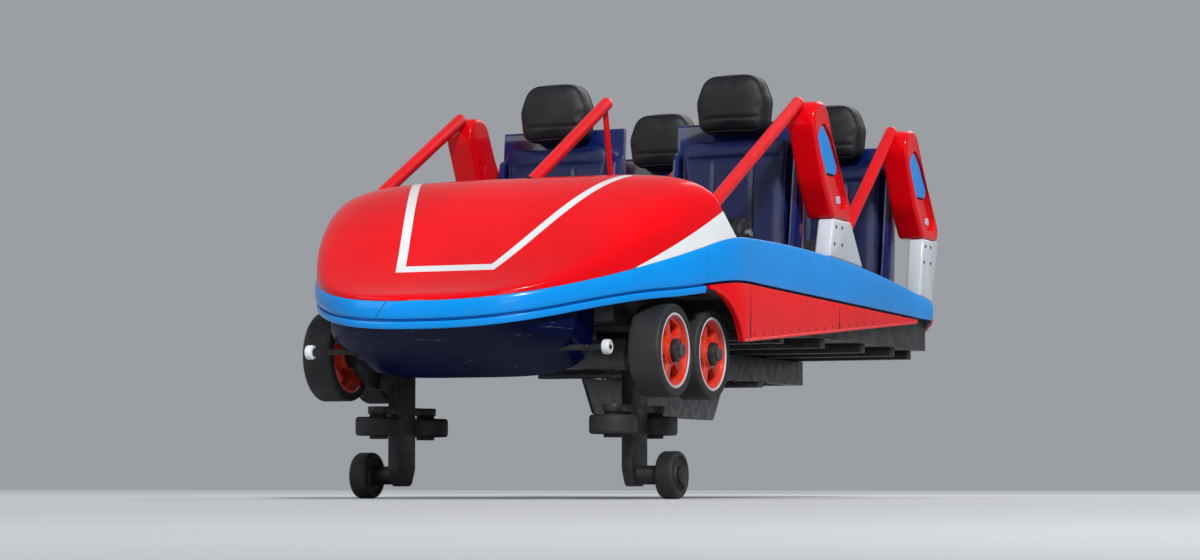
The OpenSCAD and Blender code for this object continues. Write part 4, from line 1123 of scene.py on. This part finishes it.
def place_at_seats(pad, name, slot, replaced, details):
    """The template pad's copies at the four seats, with their welts and stitches."""
    template = shape_of(pad.piece)
    bpy.data.objects.remove(pad.piece)
    for seat, x, r in SEATS:
        made = add(f"{name}_{seat}", [move(template, x - SEAT_X, r)], slot, replaced, angle=60.0)
        add(f"{name}_seams_{seat}", [move(shape, x - SEAT_X, r) for shape in details], slot, angle=50.0)


# Seats: slope of the back, and y and z of the cushion's, back pad's and headrest's origins and the shell's back
LEAN, CUSHION, BACK, HEAD, SHELL_BACK = 0.0741, (838, 298.8), (1086.0911, 669), (1107, 1056.5), (1116, 298)


def add_seat_cushions():
    outline = pulled_in(203, 208, 36, 5)
    rings = pad_rings(outline, 84, 7, 16, 2.0)
    # Lower at the front edge and a little at the back, as the shells are
    rings[..., 2] *= np.interp(rings[..., 1], [-214, -124, 214], [0.82, 1.0, 0.90])
    pad = Pad((SEAT_X, *CUSHION), ACROSS, ALONG, UP, rings)
    lines = [(0, -78, -190, 186), (0, 78, -190, 186), (1, 130, -190, 190)]
    pad.swell(11.0, 10.0, lines)
    pad.press(lines, 7.0)
    pad.press(lines[2:], 3.0)
    details = [pad.piping(outline * 0.985, 74), pad.piping(outline * 0.985, 16), *pad.stitches(lines)]
    place_at_seats(pad, "cushion", "pad_navy", "seat_cushions", details)


def add_back_pads():
    outline, lean = pulled_in(197, 264, 40, 6), math.atan(LEAN)
    up, out = (0, math.sin(lean), math.cos(lean)), (0, -math.cos(lean), math.sin(lean))
    pad = Pad((SEAT_X, *BACK), (-1, 0, 0), up, out, pad_rings(outline, 50, 6, 14, 2.0))
    lines = [(0, -72, -225, 196), (0, 72, -225, 196), (1, 196, -180, 180), (1, -110, -72, 72)]
    pad.swell(11.0, 9.0, lines)
    pad.press(lines, 6.0)
    details = [pad.piping(outline * 0.985, 42), *pad.stitches(lines)]
    place_at_seats(pad, "back_pad", "pad_navy", "back_pads", details)


def add_headrests():
    corners = [(-118, -100, 34), (118, -100, 34), (131, 8, 60), (97, 100, 62), (-97, 100, 62), (-131, 8, 60)]
    outline = even(rounded(corners, 10), 140)
    pad = Pad((SEAT_X, *HEAD), (-1, 0, 0), UP, (0, -1, 0), pad_rings(outline, 98, 5, 30, 3.0))
    lines = [(1, -52, -112, 112)]
    pad.swell(9.0, 6.0)
    pad.press(lines, 4.0)
    details = [pad.piping(outline * 0.97, 80, 2.6), pad.piping(outline * 0.97, 18, 2.6), *pad.stitches(lines)]
    place_at_seats(pad, "headrest", "pad_black", "headrests", details)


HINGE_Y, HINGE_Z, GRIP_Y, GRIP_Z = 470.0, 292.0, 700.0, 572.0


def add_lap_bars():
    """Bent bar on its hinge barrel, and a foam roll sewn round the crossbar."""
    stem = tube(bent([(478, 306, 0), (512, 470, 90), (620, GRIP_Z, 70), (704, GRIP_Z, 0)], 12), 21)
    barrel = mirrored([(24, -48), (28.5, -46.5), (29, -44), (29, -40), (27.5, -39)])
    shaft = mirrored([(13.5, -66.9), (15, -65.5)])
    cross = mirrored([(4, -202.9), (12, -202), (16, -198.5), (17, -194)])
    collar = [(21.5, 0), (26.5, 1), (27, 6), (23.5, 12), (21.2, 13)]
    roll = [(4, -185), (30, -184.8), (45, -181.5), (51.5, -174), (53, -164), (50.5, -160), (53.3, -156)]
    roll = mirrored(roll + [(53.3 + 1.8 * math.cos(math.pi * h / 360), h) for h in np.linspace(-140, 0, 8)])
    for seat, x, r in SEATS:
        body, hinge, grip = f"restraint_{seat}", (x, r + HINGE_Y, HINGE_Z), (x, r + GRIP_Y, GRIP_Z)
        shapes = [revolve(barrel, hinge, ACROSS, 48), revolve(shaft, hinge, ACROSS, 32),
                  revolve(cross, grip, ACROSS, 32), revolve(collar, (x, r + 484, 330), (0, 0.21, 0.98), 32),
                  move(stem, x, r)]
        add(f"bar_{seat}", shapes, "bar_steel", f"lap_bar_{seat}", body=body)
        foam = add(f"bar_roll_{seat}", [revolve(roll, grip, ACROSS, 64)], "bar_foam", f"bar_pad_{seat}", body=body,
                   angle=60.0)
        seam = [np.array(grip) + (s, -53.6 * math.cos(0.5), -53.6 * math.sin(0.5)) for s in (-152, 152)]
        add(f"bar_seam_{seat}", [sweep(spaced(seam, 10.0), 2.2, 8)], "bar_foam", body=body)


def add_shell_backs():
    """Pressed ribs, a crosswise stiffener and bolts on the backs of the seat shells."""
    slope = math.atan(LEAN)
    out = np.array((0, math.cos(slope), -math.sin(slope)))
    profile = [(-17, -1.0), (-13, 4.6), (-9, 6.0), (9, 6.0), (13, 4.6), (17, -1.0)]
    tall = ((372, 0.2), (384, 0.85), (400, 1.0), (860, 1.0), (876, 0.85), (888, 0.2))
    wide = ((-196, 0.2), (-186, 0.85), (-170, 1.0), (170, 1.0), (186, 0.85), (196, 0.2))
    ribs, bolts, level_z = [], [], 925

    def back_face(x, z, lift):
        return np.array((x, SHELL_BACK[0] + (z - SHELL_BACK[1]) * LEAN, z)) + out * lift

    def at_size(size):
        return [(u, v if v < 0 else v * size) for u, v in profile]

    upright = [[back_face(u * min(1, size + 0.15), z, v) for u, v in at_size(size)] for z, size in tall]
    level = [[back_face(x, level_z + u, v) for u, v in at_size(size)] for x, size in wide]
    for _, x, r in SEATS:
        ribs += [move(loft(upright), x + dx, r) for dx in (-120, 0, 120)] + [move(loft(level), x, r)]
        for dx, z in product((-205, 205), (420, 640, 860)):
            bolts += hex_bolt(back_face(x + dx, z, 0.2) + (0, r, 0), out, 11)
    add("shell_ribs", ribs, "shell_navy", angle=40.0)
    add("shell_bolts", bolts, "bare_steel")


def ribbed_mat(y0, y1, half, x0=72.0, sheet=2.4, height=2.6, pitch=12.0, gap=4.0):
    """Ribs across the car on a thin sheet that lies on the floor."""
    foot = FLOOR_TOP + sheet
    outline, y = [(y0, FLOOR_TOP), (y0, foot)], y0 + 6
    while y + pitch < y1:
        end = y + pitch - gap
        outline += [(y, foot), (y + 1.2, foot + height), (end - 1.2, foot + height), (end, foot)]
        y += pitch
    outline += [(y1, foot), (y1, FLOOR_TOP)]
    return loft([at_x(outline, x) for x in (x0, half)])


def add_mats():
    mats = [ribbed_mat(*mat) for mat in ((70, 425, 440), (516, 600, 555), (1180, 1415, 555), (1506, 1590, 555))]
    add("foot_mats", both_sides(*mats), "guide_tread", angle=25.0)


BRACKET_TOP, FRAME_FOOT, COUPLING_Y, TAIL_BACK, SEAT_SIDE_X = 248.5, 110.2, 2172.2, 2178.3, 698.8


def add_bolts():
    """Hexagon bolts and domed rivets on the fixed parts."""
    steel = []
    for _, x, r in SEATS:
        steel += hex_bolts((x - 52, x + 52), (r + HINGE_Y - 46, r + HINGE_Y + 46), (BRACKET_TOP,), UP, 11)
    steel += hex_bolts((-165, -135, 135, 165), (417, 667, 1067, 1487, 1817), (FRAME_FOOT,), (0, 0, -1), 13)
    steel += hex_bolts((-150, -90, 90, 150), (COUPLING_Y,), (128, 182), ALONG, 16)
    steel += [rivet((x, TAIL_BACK, 352 if abs(x) < 600 else 350), ALONG, 8)
              for x in (-640, -430, -215, 0, 215, 430, 640)]
    add("bolts", steel, "bare_steel")
    pale = [rivet((SEAT_SIDE_X, r + y, z), ACROSS, 6.5)
            for r, (y, z) in product(ROWS, ((1100, 620), (1160, 620), (1082, 560), (1160, 560)))]
    add("side_rivets", both_sides(*pale), "bare_steel")


LAMP_AIM = (0, 0.7, 0.3)


def add_floor_and_light():
    corners = np.array([(x, y, FLOOR_Z) for x, y in ((-30, -30), (30, -30), (30, 30), (-30, 30))])
    floor = joined("floor", [(corners / MM, [(0, 1, 2, 3)])])
    Look("floor_plain", Roughness=0.65, Base_Color=(0.44, 0.45, 0.46))
    floor.data.materials.append(MATERIALS["floor_plain"])
    floor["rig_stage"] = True
    sun = assign(bpy.data.lights.new("key", "SUN"), energy=3.8, angle=0.14)
    stand("key", sun, (5.6, -6.4, 7.0), LAMP_AIM)
    for name, place, size, power in (("fill", (-5.5, -4.0, 3.0), 4.0, 110), ("back", (1.0, 6.5, 4.5), 4.0, 130),
                                     ("low", (4.5, -7.5, 1.8), 2.0, 45)):
        stand(name, assign(bpy.data.lights.new(name, "AREA"), energy=power, size=size), place, LAMP_AIM)
    world = bpy.data.worlds.new("studio")
    world.use_nodes = True
    sky = world.node_tree.nodes["Background"].inputs
    sky["Color"].default_value = (0.86, 0.90, 0.95, 1.0)
    sky["Strength"].default_value = 0.38
    bpy.context.scene.world = world
    bpy.context.scene.view_settings.view_transform = "Standard"


add_floor_and_light()
add_hood()
add_stripe()
add_wedges()
add_bands()
add_band_seam()
add_lower_panels()
add_panel_details()
add_belly()
add_nose_wells()
add_fittings()
add_wings()
add_rails()
add_running_wheels()
add_lap_bars()
add_seat_cushions()
add_back_pads()
add_headrests()
add_shell_backs()
add_mats()
add_bolts()

# Every node that nothing stands for yet shows as its own mesh with rounded edges
SKINNED = {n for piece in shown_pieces() for n in piece.get("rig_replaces", [])}
EDGE_RADIUS, WIDER = 2.0, {"hub_": 1.5, "seat_shells": 6.0, "seat_sides": 8.0}
for name in nodes:
    if name not in SKINNED:
        width = next((w for key, w in WIDER.items() if name.startswith(key)), EDGE_RADIUS)
        rounded_copy(name, width, look="liner_sheet" if name == "side_liners" else None)
